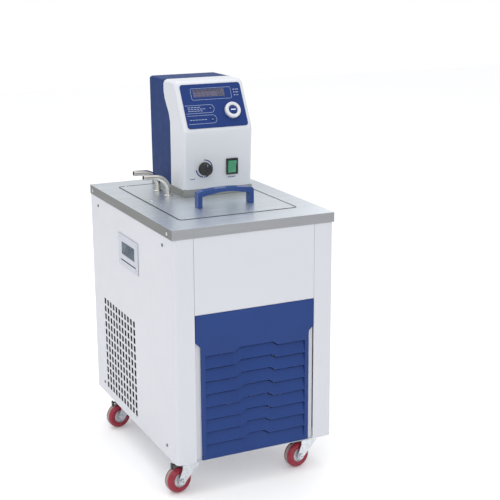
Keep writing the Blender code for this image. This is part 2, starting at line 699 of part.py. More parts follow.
HANDLE_Y, HANDLE_DEPTH = -0.079, 0.017
HANDLE_LEFT, HANDLE_RIGHT = -0.0515, 0.0625
HANDLE_FOOT = 0.0085
HANDLE_FEET = (HANDLE_LEFT + HANDLE_FOOT / 2, HANDLE_RIGHT - HANDLE_FOOT / 2)


def build_lid_handle():
    """A bowed bar on two feet, drawn from the front and given a depth, with screw studs below."""
    base, foot = COVER_TOP + GAP, HANDLE_FOOT
    shoulder, crown = 0.5335, 0.5389
    under_end, under_crown = 0.5252, 0.5315
    span = HANDLE_RIGHT - HANDLE_LEFT

    def bow(start, end, low, high, count):
        for i in range(count + 1):
            share = i / count
            yield (start + (end - start) * share, low + (high - low) * math.sin(math.pi * share))

    outer = [(HANDLE_LEFT, base)]
    outer += arc((HANDLE_LEFT + 0.006, shoulder - 0.004), 0.006, 180, 120, 3)
    outer += list(bow(HANDLE_LEFT + 0.010, HANDLE_RIGHT - 0.010, shoulder + 0.0022, crown, 10))
    outer += arc((HANDLE_RIGHT - 0.006, shoulder - 0.004), 0.006, 60, 0, 3)
    outer += [(HANDLE_RIGHT, base)]
    inner = [(HANDLE_RIGHT - foot, base)]
    inner += list(bow(HANDLE_LEFT + span - foot, HANDLE_LEFT + foot, under_end, under_crown, 8))
    inner += [(HANDLE_LEFT + foot, base)]
    bar = stand_up(outline_mesh("lid_handle", [outer + inner], HANDLE_DEPTH), "XZ", HANDLE_Y)
    handle = add_part("lid_handle", bar, "blue_plastic")
    soften(handle, 0.0026, 2, 50)
    studs = []
    for x in HANDLE_FEET:
        studs.append((0.0025, (x, HANDLE_Y, base + 0.010), (x, HANDLE_Y, COVER_TOP - SHEET - 0.0012)))
    unite(handle, add_cutter("lid_handle_studs", rod_mesh("lid_handle_studs", *studs, sides=12)))


# ---------------------------------------------------------------- hoses, pump and bath fittings
def pipe(name, path, radius, bore, colour_name):
    """A pipe with an open bore along a smooth path."""
    ahead, behind = (path[-1] - path[-2]).normalized(), (path[0] - path[1]).normalized()
    longer = [path[0] + behind * 0.002] + path[1:-1] + [path[-1] + ahead * 0.002]
    part = add_part(name, tube_mesh(name, path, radius), colour_name)
    subtract(part, add_cutter(name + "_bore", tube_mesh(name + "_bore", longer, bore)))
    return part


def build_hose_tubes():
    level, end, bend = 0.5415, -0.109, 0.028
    x, y = OUTLET_TUBE
    outlet = smooth_path([(0.0112, y, 0.368), (x, y, 0.368), (x, y, level), (end, y, level + 0.002)], bend)
    pipe("outlet_tube", outlet, TUBE_RADIUS, 0.0043, "steel")
    x, y = RETURN_TUBE
    back = smooth_path([(x, y, 0.400), (x, y, level), (end + 0.0015, y, level + 0.002)], bend)
    pipe("return_tube", back, TUBE_RADIUS, 0.0043, "steel")


MOTOR_BOTTOM, MOTOR_TOP = 0.5600, 0.6550


def build_pump():
    place = (PUMP_X, PUMP_Y, 0)
    turned("pump_motor", [
        (0.0046, MOTOR_TOP), (0.0230, MOTOR_TOP), (0.0300, MOTOR_TOP - 0.006), (0.0310, MOTOR_BOTTOM),
        (0.0046, MOTOR_BOTTOM)], "aluminium", 28, place, closed=True)
    flange = MOTOR_BOTTOM - GAP
    seat = COVER_TOP + GAP
    turned("pump_column", [
        (0.0060, flange), (0.0310, flange), (0.0310, flange - 0.004), (0.0140, flange - 0.004),
        (0.0140, seat + 0.003), (0.0240, seat + 0.003), (0.0240, seat), (0.0140, seat),
        (0.0140, 0.3860), (0.0260, 0.3860), (0.0260, 0.3520), (0.0090, 0.3520),
        (0.0090, 0.3545), (0.0225, 0.3545), (0.0225, 0.3835), (0.0060, 0.3835)],
        "steel", 16, place, closed=True)
    turned("pump_shaft", [(0, 0.6480), (0.0040, 0.6480), (0.0040, 0.3575), (0, 0.3575)],
           "steel", 16, place)
    blades, rim, root = 6, 0.0195, 0.0070
    outline = []
    for blade in range(blades):
        turn = math.radians(360 / blades * blade)
        for angle, radius in ((-9, rim), (5, rim), (22, root), (38, root)):
            lean = turn + math.radians(angle)
            outline.append((radius * math.cos(lean), radius * math.sin(lean)))
    bore = arc((0, 0), 0.0043, 0, 337.5, 15)
    mesh = stand_up(outline_mesh("pump_impeller", [outline, bore], 0.012), "XY", 0.3680)
    impeller = add_part("pump_impeller", mesh, "black_plastic")
    impeller.location = place


def build_heater():
    """Immersion heater: one leg down to a coil, and back up through the coil's middle."""
    turns, per_turn, radius = 3.5, 10, 0.022
    top, bottom, head = 0.440, 0.385, 0.5120
    points = [(HEATER_X + radius, HEATER_Y, head), (HEATER_X + radius, HEATER_Y, top + 0.012)]
    count = int(turns * per_turn)
    for i in range(count + 1):
        angle = 2 * math.pi * i / per_turn
        points.append((HEATER_X + radius * math.cos(angle), HEATER_Y + radius * math.sin(angle),
                       top + (bottom - top) * i / count))
    points += [(HEATER_X - 0.011, HEATER_Y, bottom - 0.004), (HEATER_X - 0.002, HEATER_Y, bottom),
               (HEATER_X, HEATER_Y, bottom + 0.010), (HEATER_X, HEATER_Y, head)]
    add_part("heater_coil", tube_mesh("heater_coil", points, 0.0040, 1), "steel")


def build_probe():
    turned("temperature_probe", [
        (0, 0.5120), (0.0060, 0.5120), (0.0060, COVER_TOP + GAP), (0.0030, COVER_TOP + GAP),
        (0.0030, 0.4020), (0.0015, 0.4000), (0, 0.4000)], "steel", 16, (PROBE_X, PROBE_Y, 0))


def build_evaporator():
    """Copper coil round the tank's walls; both ends leave through its back near the top."""
    half_x, front, back, corner = 0.094, -0.139, 0.151, 0.022
    loops, low, pitch, per_corner = 3, 0.352, 0.011, 2
    top = low + loops * pitch
    corners = [(-half_x, back, 90), (-half_x, front, 180), (half_x, front, 270), (half_x, back, 0)]
    (first_x, first_z), (last_x, last_z) = COIL_EXITS
    points = [(first_x, 0.186, first_z), (first_x, back + 0.006, first_z),
              (first_x, back + 0.001, first_z - 0.004), (first_x, back, first_z - 0.012),
              (first_x, back, top + 0.012), (first_x - 0.003, back, top + 0.004),
              (first_x - 0.011, back, top)]
    count = loops * len(corners)
    for number in range(count):
        x, y, start = corners[number % len(corners)]
        centre = (x - math.copysign(corner, x), y - math.copysign(corner, y))
        for i, place in enumerate(arc(centre, corner, start, start + 90, per_corner)):
            points.append((*place, top - pitch * loops * (number + i / per_corner) / count))
    lane = back - 0.012
    points += [(0.000, back, low - 0.001), (-0.024, lane, low - 0.001),
               (last_x + 0.012, lane, low), (last_x + 0.004, lane, low + 0.004),
               (last_x, lane, low + 0.012), (last_x, lane, last_z - 0.012),
               (last_x, lane + 0.004, last_z - 0.004), (last_x, lane + 0.012, last_z),
               (last_x, 0.186, last_z)]
    add_part("evaporator_coil", tube_mesh("evaporator_coil", points, 0.0040, 1), "copper")


# ---------------------------------------------------------------- cooling unit
def build_compressor():
    x, y, base = COMPRESSOR_X, COMPRESSOR_Y, CASTOR_HEIGHT + SHEET + GAP
    compressor = turned("compressor", [
        (0, 0.250), (0.022, 0.2485), (0.047, 0.2390), (0.060, 0.2210), (0.062, 0.1690), (0.0635, 0.1690),
        (0.0635, 0.1640), (0.062, 0.1640), (0.061, 0.1050), (0.046, 0.0860), (0, 0.0830)],
        "black_plastic", 20, (x, y, 0))
    feet = [((x - 0.075, y - 0.050, 0.0840), (x + 0.075, y + 0.050, 0.0870))]
    feet += [((x + i - 0.010, y + j - 0.010, base), (x + i + 0.010, y + j + 0.010, 0.0850))
             for i in (-0.062, 0.062) for j in (-0.038, 0.038)]
    for number, foot in enumerate(feet):
        name = f"compressor_foot_{number}"
        unite(compressor, add_cutter(name, box_mesh(name, foot)))


def build_condenser():
    low, high = (-0.086, -0.1980, 0.094), (0.086, -0.1620, 0.296)
    condenser = add_part("condenser", box_mesh("condenser", (low, high)), "aluminium")
    fins = []
    for row in range(8):
        z = low[2] + 0.012 + row * 0.0245
        fins.append(((low[0] + 0.006, low[1] - 0.01, z), (high[0] - 0.006, low[1] + 0.010, z + 0.010)))
    subtract(condenser, add_cutter("condenser_gaps", box_mesh("condenser_gaps", *fins)))
    stand = box_mesh("condenser_stand", ((-0.070, -0.190, CASTOR_HEIGHT + SHEET + GAP),
                                         (0.070, -0.170, low[2] + 0.001)))
    unite(condenser, add_cutter("condenser_stand", stand))


def build_fan():
    front = -0.1617
    hole = arc((0, FAN_Z), 0.0790, 0, 350, 35)
    plate_outline = rectangle((-0.086, 0.094), (0.086, 0.296))
    plate = stand_up(outline_mesh("fan_shroud", [plate_outline, hole], 0.0020), "XZ", front + 0.0010)
    shroud = add_part("fan_shroud", plate, "black_plastic")
    face = (math.pi / 2, 0, 0)
    duct = turned("fan_shroud_duct", [
        (0.0790, -front - 0.0005), (0.0812, -front - 0.0005), (0.0812, 0.1120), (0.0790, 0.1120)],
        None, 36, (0, 0, FAN_Z), face, closed=True)
    unite(shroud, duct)
    bar = box_mesh("fan_shroud_bar", ((-0.0805, -0.1140, FAN_Z - 0.009), (0.0805, -0.1115, FAN_Z + 0.009)))
    unite(shroud, add_cutter("fan_shroud_bar", bar))
    bearing = rod_mesh("fan_shaft_hole", (0.0036, (0, -0.13, FAN_Z), (0, -0.10, FAN_Z)))
    subtract(shroud, add_cutter("fan_shaft_hole", bearing))
    turned("fan_motor", [
        (0.0034, 0.1110), (0.0290, 0.1110), (0.0300, 0.1090), (0.0300, 0.0800), (0.0270, 0.0770),
        (0.0034, 0.0770)], "black_plastic", 20, (0, 0, FAN_Z), face, closed=True)
    hub = turned("fan_blade", [
        (0, 0.1450), (0.0150, 0.1450), (0.0170, 0.1430), (0.0170, 0.1260), (0.0030, 0.1260),
        (0.0030, 0.0900), (0, 0.0900)], "aluminium", 16, (0, 0, FAN_Z), face)
    bm = bmesh.new()
    for blade in range(5):
        spin = Matrix.Rotation(math.radians(72 * blade), 4, "Z")
        pitch = Matrix.Rotation(math.radians(28), 4, "X")
        place = Matrix.Translation((0.043, 0, 0.1360)) @ pitch @ Matrix.Diagonal((0.060, 0.034, 0.0016, 1))
        bmesh.ops.create_cube(bm, size=1, matrix=spin @ place)
    blades = add_cutter("fan_blades", mesh_from(bm, "fan_blades"))
    blades.location = (0, 0, FAN_Z)
    blades.rotation_euler = face
    unite(hub, blades)


# ---------------------------------------------------------------- control head
def head_section(points, name, left, right):
    """A solid across the head from a side outline in YZ."""
    return stand_up(outline_mesh(name, [points], right - left), "YZ", (left + right) / 2)


def along_panel(distance):
    """Y and Z of a point on the sloping panel, up the slope from its centre."""
    return (PANEL_CENTRE.y + distance * math.sin(PANEL_LEAN),
            PANEL_CENTRE.z + distance * math.cos(PANEL_LEAN))


# side outline in YZ: where the two shells meet, the lower face and the brow
SEAM = [(0.0800, HEAD_BOTTOM), (0.0785, 0.588), (0.0787, 0.643), (0.0850, 0.660), (0.0960, 0.674),
        (0.1050, 0.687), (0.1100, 0.700), (0.1095, 0.714), (0.1085, HEAD_TOP)]
FACE = [(0.0145, HEAD_BOTTOM), (0.0098, 0.606), (0.0084, 0.620), (0.0079, 0.6285), along_panel(-0.0465)]
BROW = [along_panel(0.0465), (0.0562, 0.7210), (0.0615, HEAD_TOP)]
COVER_OUTLINE = list(reversed(FACE + BROW + list(reversed(SEAM))))


def offset_outline(points, distance):
    """Move every side of a closed anticlockwise outline inward by a distance."""
    moved = []
    count = len(points)
    for i in range(count):
        before, here, after = (Vector(points[(i + k) % count]) for k in (-1, 0, 1))
        first, second = (here - before).normalized(), (after - here).normalized()
        inward_a, inward_b = Vector((-first.y, first.x)), Vector((-second.y, second.x))
        mitre = (inward_a + inward_b).normalized()
        moved.append(tuple(here + mitre * distance / max(0.4, mitre.dot(inward_a))))
    return moved


def round_side_edges(part, radius, sharp_runs):
    """Round the edges between the outline and the two flat ends, except along the sharp runs."""
    bm = bmesh.new()
    bm.from_mesh(part.data)
    flat = [edge for edge in bm.edges if edge.calc_face_angle(0) < 1e-4]
    bmesh.ops.dissolve_edges(bm, edges=flat, use_verts=False)
    sharp = []
    for run in sharp_runs:
        sharp += [Vector((0, (a[0] + b[0]) / 2, (a[1] + b[1]) / 2)) for a, b in zip(run, run[1:])]
    chosen = []
    for edge in bm.edges:
        first, second = (corner.co for corner in edge.verts)
        across = abs(first.x - second.x) > 1e-6
        middle = Vector((0, (first.y + second.y) / 2, (first.z + second.z) / 2))
        if not across and all((middle - place).length > 1e-4 for place in sharp):
            chosen.append(edge)
    bmesh.ops.bevel(bm, geom=chosen, offset=radius, offset_type="OFFSET", segments=3, profile=0.5,
                    affect="EDGES", clamp_overlap=True)
    bmesh.ops.remove_doubles(bm, verts=bm.verts[:], dist=1e-6)
    bm.to_mesh(part.data)
    bm.free()


def panel_frame():
    """Empty on the sloping panel: local X to the right, local Y up the slope, local Z out."""
    return add_empty("panel_frame", PANEL_CENTRE, (math.pi / 2 - PANEL_LEAN, 0, 0))


DIAL_X, DIAL_Y = 0.0350, -0.0135
KEYS = {"key_upper": (-0.0098, -0.0057), "key_lower": (-0.0094, -0.0281)}
DISPLAY_LOW, DISPLAY_HIGH = (-0.0388, 0.0180), (0.0270, 0.0342)


def panel_holes(name, panel, depth):
    """Cutters through the sloping panel for the display, the dial and the two keys."""
    rods = [(0.0064, (DIAL_X, DIAL_Y, -depth), (DIAL_X, DIAL_Y, depth))]
    rods += [(0.0034, (x, y, -depth), (x, y, depth)) for x, y in KEYS.values()]
    display = box_mesh(name + "_display", ((*DISPLAY_LOW, -depth), (*DISPLAY_HIGH, depth)))
    return [add_cutter(name + "_holes", rod_mesh(name + "_holes", *rods, sides=20), panel),
            add_cutter(name + "_display", display, panel)]


def build_front_cover(panel):
    """White front shell, open towards the rear shell."""
    cover = add_part("front_cover", head_section(COVER_OUTLINE, "front_cover", HEAD_LEFT, HEAD_RIGHT),
                     "white_plastic")
    round_side_edges(cover, HEAD_ROUND, [SEAM, [SEAM[0], FACE[0]]])
    inside = offset_outline(COVER_OUTLINE, HEAD_WALL)
    inside = [(y + 0.02 if y > 0.07 else y, z) for y, z in inside]
    hollow = head_section(inside, "front_cover_hollow", HEAD_LEFT + HEAD_WALL, HEAD_RIGHT - HEAD_WALL)
    subtract(cover, add_cutter("front_cover_hollow", hollow))
    for cutter in panel_holes("front_cover", panel, 0.008):
        subtract(cover, cutter)
    switch = box_mesh("front_cover_switch", ((SWITCH_X - 0.0113, -0.02, SWITCH_Z - 0.0143),
                                             (SWITCH_X + 0.0113, 0.03, SWITCH_Z + 0.0143)))
    subtract(cover, add_cutter("front_cover_switch", switch))
    shaft = rod_mesh("front_cover_shaft", (0.0036, (KNOB_X, -0.02, KNOB_Z), (KNOB_X, 0.03, KNOB_Z)))
    subtract(cover, add_cutter("front_cover_shaft", shaft))


def build_rear_shell():
    """Blue rear shell, open towards the front cover and below."""
    seam = [(y + GAP, z) for y, z in SEAM]
    foot = (0.187, HEAD_BOTTOM)
    corner = arc((HEAD_BACK - 0.006, HEAD_TOP - 0.006), 0.006, 0, 90, 3)
    outline = [seam[0], foot] + corner + list(reversed(seam[1:]))
    shell = add_part("rear_shell", head_section(outline, "rear_shell", HEAD_LEFT, HEAD_RIGHT), "navy_shell")
    round_side_edges(shell, HEAD_ROUND, [seam, [seam[0], foot]])
    inside = offset_outline(outline, HEAD_WALL)
    opened = []
    for y, z in inside:
        opened.append((y - 0.02 if y < 0.12 else y, z - 0.01 if z < HEAD_BOTTOM + 0.01 else z))
    hollow = head_section(opened, "rear_shell_hollow", HEAD_LEFT + HEAD_WALL, HEAD_RIGHT - HEAD_WALL)
    subtract(shell, add_cutter("rear_shell_hollow", hollow))
    middle = (HEAD_LEFT + HEAD_RIGHT) / 2
    vents = [((middle - 0.040, 0.180, z), (middle + 0.040, 0.200, z + 0.003))
             for z in (0.610 + 0.009 * row for row in range(7))]
    subtract(shell, add_cutter("rear_shell_vents", box_mesh("rear_shell_vents", *vents)))


def build_plinth():
    """Steel collar between the bridge plate and the head's shells."""
    low, high = (HEAD_LEFT - 0.001, 0.013, COVER_TOP + GAP), (HEAD_RIGHT, 0.186, HEAD_BOTTOM - GAP)
    plinth = add_part("head_plinth", box_mesh("head_plinth", (low, high)), "steel")
    wall = 0.002
    through = box_mesh("head_plinth_inside", ((low[0] + wall, low[1] + wall, low[2] - 0.01),
                                              (high[0] - wall, high[1] - wall, high[2] + 0.01)))
    subtract(plinth, add_cutter("head_plinth_inside", through))


def build_membrane(panel):
    half_x, half_y, thickness = PANEL_WIDTH / 2, PANEL_HEIGHT / 2, 0.0008
    outline = round_rectangle((-half_x, -half_y), (half_x, half_y), 0.006)
    holes = [rectangle(DISPLAY_LOW, DISPLAY_HIGH), arc((DIAL_X, DIAL_Y), 0.0064, 0, 342, 19)]
    holes += [arc(place, 0.0034, 0, 330, 11) for place in KEYS.values()]
    mesh = stand_up(outline_mesh("membrane_panel", [outline] + holes, thickness), "XY",
                    GAP + thickness / 2)
    add_part("membrane_panel", mesh, "blue_plastic", panel)


BOARD_FRONT = -0.0106


def build_panel_parts(panel):
    """Display, board, dial with its centre button, and two keys, in the sloping panel's frame."""
    behind = -HEAD_WALL - GAP
    (left, low), (right, high) = DISPLAY_LOW, DISPLAY_HIGH
    module = box_mesh("display_module", ((left - 0.004, low - 0.003, BOARD_FRONT + GAP),
                                         (right + 0.004, high + 0.003, behind)))
    display = add_part("display_module", module, "display_glass", panel)
    glass = box_mesh("display_glass", ((left + GAP, low + GAP, behind - 0.001),
                                       (right - GAP, high - GAP, -0.0004)))
    unite(display, add_cutter("display_glass", glass, panel))

    board_mesh = box_mesh("control_board", ((-0.054, -0.040, BOARD_FRONT - 0.0016),
                                            (0.054, 0.040, BOARD_FRONT)))
    board = add_part("control_board", board_mesh, "circuit_green", panel)
    blocks = [((DIAL_X - 0.007, DIAL_Y - 0.007, BOARD_FRONT - 0.0005),
               (DIAL_X + 0.007, DIAL_Y + 0.007, -0.0083))]
    blocks += [((x - 0.003, y - 0.003, BOARD_FRONT - 0.0005), (x + 0.003, y + 0.003, -0.0057))
               for x, y in KEYS.values()]
    blocks += [((x, -0.036, BOARD_FRONT - 0.009), (x + 0.012, -0.020, BOARD_FRONT - 0.001))
               for x in (-0.048, -0.030, 0.034)]
    unite(board, add_cutter("board_blocks", box_mesh("board_blocks", *blocks), panel))

    dial_place = (DIAL_X, DIAL_Y, 0)
    turned("jog_ring", [
        (0.0102, 0.0090), (0.0146, 0.0090), (0.0157, 0.0082), (0.0160, 0.0070), (0.0160, 0.0017),
        (0.0058, 0.0017), (0.0058, -0.0060), (0.0040, -0.0060), (0.0040, 0.0032), (0.0092, 0.0032),
        (0.0092, 0.0080)], "white_plastic", 24, dial_place, parent=panel, closed=True)
    turned("jog_button", [
        (0, 0.0084), (0.0078, 0.0084), (0.0088, 0.0074), (0.0088, 0.0046), (0.0036, 0.0046),
        (0.0036, -0.0070), (0, -0.0070)], "blue_plastic", 20, dial_place, parent=panel)
    for name, (x, y) in KEYS.items():
        turned(name, [
            (0, 0.0022), (0.0022, 0.0022), (0.0030, 0.0015), (0.0030, -0.0034), (0.0046, -0.0034),
            (0.0046, -0.0048), (0, -0.0048)], "blue_plastic", 12, (x, y, 0), parent=panel)


def face_depth(height):
    """Y of the cover's lower face at a height above the floor."""
    (low_y, low_z), (high_y, high_z) = FACE[0], FACE[1]
    return low_y + (high_y - low_y) * (height - low_z) / (high_z - low_z)


def build_speed_knob():
    """Fluted knob on a shaft through the cover, with a pointer rib."""
    face = face_depth(KNOB_Z + 0.013) - 0.0012
    knob = turned("speed_knob", [
        (0, 0.0150), (0.0098, 0.0150), (0.0112, 0.0138), (0.0124, 0.0020), (0.0132, 0.0008),
        (0.0132, 0), (0.0030, 0), (0.0030, -0.0120), (0, -0.0120)],
        "black_plastic", 24, (KNOB_X, face, KNOB_Z), (math.pi / 2, 0, 0))
    rib = box_mesh("speed_knob_rib", ((-0.0010, 0.0020, 0.0100), (0.0010, 0.0108, 0.0156)))
    rib_cutter = add_cutter("speed_knob_rib", rib)
    rib_cutter.location = knob.location
    rib_cutter.rotation_euler = knob.rotation_euler
    unite(knob, rib_cutter)


ROCKER_PIVOT_DEPTH = 0.0030
ROCKER_TILT = 8


def build_switch():
    """Rocker switch: a bezel with a socket through the cover, and a rocker on a cross axis."""
    front = face_depth(SWITCH_Z + 0.0158) - GAP - 0.0006
    centre = Vector((SWITCH_X, front, SWITCH_Z))

    def block(half_x, half_z, near, far):
        return ((centre.x - half_x, front + near, centre.z - half_z),
                (centre.x + half_x, front + far, centre.z + half_z))

    body = add_part("switch_body", box_mesh("switch_body", block(0.0125, 0.0158, -0.0018, 0)),
                    "black_plastic")
    socket = box_mesh("switch_socket", block(0.0109, 0.0139, -0.0010, 0.0230))
    unite(body, add_cutter("switch_socket", socket))
    hollow = box_mesh("switch_hollow", block(0.0094, 0.0126, -0.0100, 0.0150))
    subtract(body, add_cutter("switch_hollow", hollow))
    pivot = centre + Vector((0, ROCKER_PIVOT_DEPTH, 0))
    half, rise, root = 0.0118, 0.0050, 0.0060
    outline = [(-rise - 0.0010, half), (-rise + 0.0010, 0), (-rise - 0.0010, -half), (0, -half - 0.0002),
               (0.0030, -half + 0.0010)]
    outline += arc((0.0030, 0), root, 300, 420, 6)
    outline += [(0.0030, half - 0.0010), (0, half + 0.0002)]
    mesh = stand_up(outline_mesh("switch_rocker", [outline], 2 * 0.0088), "YZ")
    rocker = add_part("switch_rocker", mesh, "green_lens")
    rocker.location = pivot
    rocker.rotation_euler = (math.radians(ROCKER_TILT), 0, 0)


# ---------------------------------------------------------------- assembly
def build_cabinet():
    build_base_pan()
    build_inner_frame()
    build_side_panel("left_side_panel", -1)
    build_side_panel("right_side_panel", 1)
    build_grip("left_grip", -1)
    build_grip("right_grip", 1)
    build_back_panel()
    build_power_inlet()
    build_front_panel()
    build_front_grille()


def build_bath():
    build_deck()
    build_tank()
    build_insulation()
    build_bridge_plate()
    build_lid()
    build_lid_handle()
    build_hose_tubes()
    build_pump()
    build_heater()
    build_probe()
    build_evaporator()


def build_cooling_unit():
    build_compressor()
    build_condenser()
    build_fan()


def build_head():
    panel = panel_frame()
    build_plinth()
    build_rear_shell()
    build_front_cover(panel)
    build_membrane(panel)
    build_panel_parts(panel)
    build_speed_knob()
    build_switch()


def main():
    for corner, (x, y, heading) in CASTORS.items():
        build_castor(corner, x, y, heading)
    build_cabinet()
    build_bath()
    build_cooling_unit()
    build_head()


main()
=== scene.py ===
import json
import math

import bmesh
import bpy
from mathutils import Matrix, Vector

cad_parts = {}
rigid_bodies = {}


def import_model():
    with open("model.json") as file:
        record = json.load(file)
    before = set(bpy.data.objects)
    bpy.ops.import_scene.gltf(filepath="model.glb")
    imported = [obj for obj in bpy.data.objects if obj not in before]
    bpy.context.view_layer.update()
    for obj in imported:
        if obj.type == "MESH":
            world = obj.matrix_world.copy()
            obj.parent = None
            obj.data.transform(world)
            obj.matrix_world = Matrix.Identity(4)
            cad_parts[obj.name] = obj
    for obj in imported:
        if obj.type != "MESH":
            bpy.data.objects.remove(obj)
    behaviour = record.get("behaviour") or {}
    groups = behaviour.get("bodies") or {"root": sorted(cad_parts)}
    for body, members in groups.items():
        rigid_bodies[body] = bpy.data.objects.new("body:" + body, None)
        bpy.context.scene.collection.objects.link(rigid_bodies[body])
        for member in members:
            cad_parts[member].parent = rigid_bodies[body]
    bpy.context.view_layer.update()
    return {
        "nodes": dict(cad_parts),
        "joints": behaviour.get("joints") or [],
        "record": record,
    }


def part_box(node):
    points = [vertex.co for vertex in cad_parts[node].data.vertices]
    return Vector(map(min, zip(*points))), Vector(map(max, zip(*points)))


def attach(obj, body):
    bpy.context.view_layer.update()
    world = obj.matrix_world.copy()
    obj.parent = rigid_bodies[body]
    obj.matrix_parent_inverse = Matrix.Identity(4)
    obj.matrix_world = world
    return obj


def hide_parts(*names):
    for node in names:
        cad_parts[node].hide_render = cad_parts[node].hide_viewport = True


# Looks of a refrigerated circulating water bath. Metres, +Z up, the front faces -Y.
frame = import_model()

RECORD = frame["record"]
BODY_OF = {node: body for body, nodes in RECORD["behaviour"]["bodies"].items() for node in nodes}
JOINT = {joint["name"]: joint for joint in frame["joints"]}


# ---- placing pieces
def link(name, mesh):
    piece = bpy.data.objects.new(name, mesh)
    bpy.context.scene.collection.objects.link(piece)
    return piece


def stand_for(piece, *nodes):
    """The piece rides on its nodes' body and stands for them."""
    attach(piece, BODY_OF[nodes[0]])
    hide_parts(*nodes)
    return piece


def go_with(piece, node):
    """An extra piece that rides on a node's body without standing for the node."""
    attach(piece, BODY_OF[node])
    return piece


def evaluated_mesh(piece):
    """The piece's mesh with its modifiers applied; the piece is removed."""
    bpy.context.view_layer.update()
    mesh = bpy.data.meshes.new_from_object(piece.evaluated_get(bpy.context.evaluated_depsgraph_get()))
    mesh.transform(piece.matrix_world)
    bpy.data.objects.remove(piece, do_unlink=True)
    return mesh


# ---- procedural materials
class Paint:
    """A Principled material whose colour, roughness and bump come from object-space noise."""

    def __init__(self, name, colour, roughness, metallic=0.0):
        self.material = bpy.data.materials.new(name)
        self.material.use_nodes = True
        self.nodes = self.material.node_tree.nodes
        self.links = self.material.node_tree.links
        self.shader = self.nodes["Principled BSDF"]
        self.shader.inputs["Metallic"].default_value = metallic
        self.colour = colour
        self.roughness = roughness
        self.place = self.nodes.new("ShaderNodeTexCoord").outputs["Object"]
        self.shader.inputs["Base Color"].default_value = (*colour, 1)
        self.shader.inputs["Roughness"].default_value = roughness
        self.material.diffuse_color = (*colour, 1)

    def stretched(self, scale):
        mapping = self.nodes.new("ShaderNodeMapping")
        mapping.inputs["Scale"].default_value = scale if isinstance(scale, tuple) else (scale,) * 3
        self.links.new(self.place, mapping.inputs["Vector"])
        return mapping.outputs["Vector"]

    def noise(self, scale, detail=3.0):
        """Noise; its scale per metre is one number, or one each along X, Y and Z."""
        node = self.nodes.new("ShaderNodeTexNoise")
        node.inputs["Scale"].default_value = 1.0
        node.inputs["Detail"].default_value = detail
        self.links.new(self.stretched(scale), node.inputs["Vector"])
        return node.outputs["Fac"]

    def ranged(self, value, low, high, start=0.3, end=0.7):
        node = self.nodes.new("ShaderNodeMapRange")
        node.inputs["From Min"].default_value = start
        node.inputs["From Max"].default_value = end
        node.inputs["To Min"].default_value = low
        node.inputs["To Max"].default_value = high
        self.links.new(value, node.inputs["Value"])
        return node.outputs["Result"]

    def mix(self, factor, first, second):
        node = self.nodes.new("ShaderNodeMix")
        node.data_type = "RGBA"
        node.inputs[6].default_value = (*first, 1)
        node.inputs[7].default_value = (*second, 1)
        self.links.new(factor, node.inputs[0])
        return node.outputs[2]

    def tint(self, scale, spread, detail=3.0):
        """Let the colour drift lighter and darker by a share."""
        dark = tuple(c * (1 - spread) for c in self.colour)
        light = tuple(min(1.0, c * (1 + spread)) for c in self.colour)
        drift = self.ranged(self.noise(scale, detail), 0.0, 1.0)
        self.links.new(self.mix(drift, dark, light), self.shader.inputs["Base Color"])
        return self

    def gloss(self, scale, spread, detail=3.0):
        value = self.ranged(self.noise(scale, detail), self.roughness - spread, self.roughness + spread)
        self.links.new(value, self.shader.inputs["Roughness"])
        return self

    def grain(self, scale, height, strength=1.0, detail=3.0):
        """Bump from noise; height is in metres."""
        bump = self.nodes.new("ShaderNodeBump")
        bump.inputs["Distance"].default_value = height
        bump.inputs["Strength"].default_value = strength
        self.links.new(self.noise(scale, detail), bump.inputs["Height"])
        self.links.new(bump.outputs["Normal"], self.shader.inputs["Normal"])
        return self

    def set(self, sockets):
        for name, value in sockets.items():
            self.shader.inputs[name].default_value = value
        return self


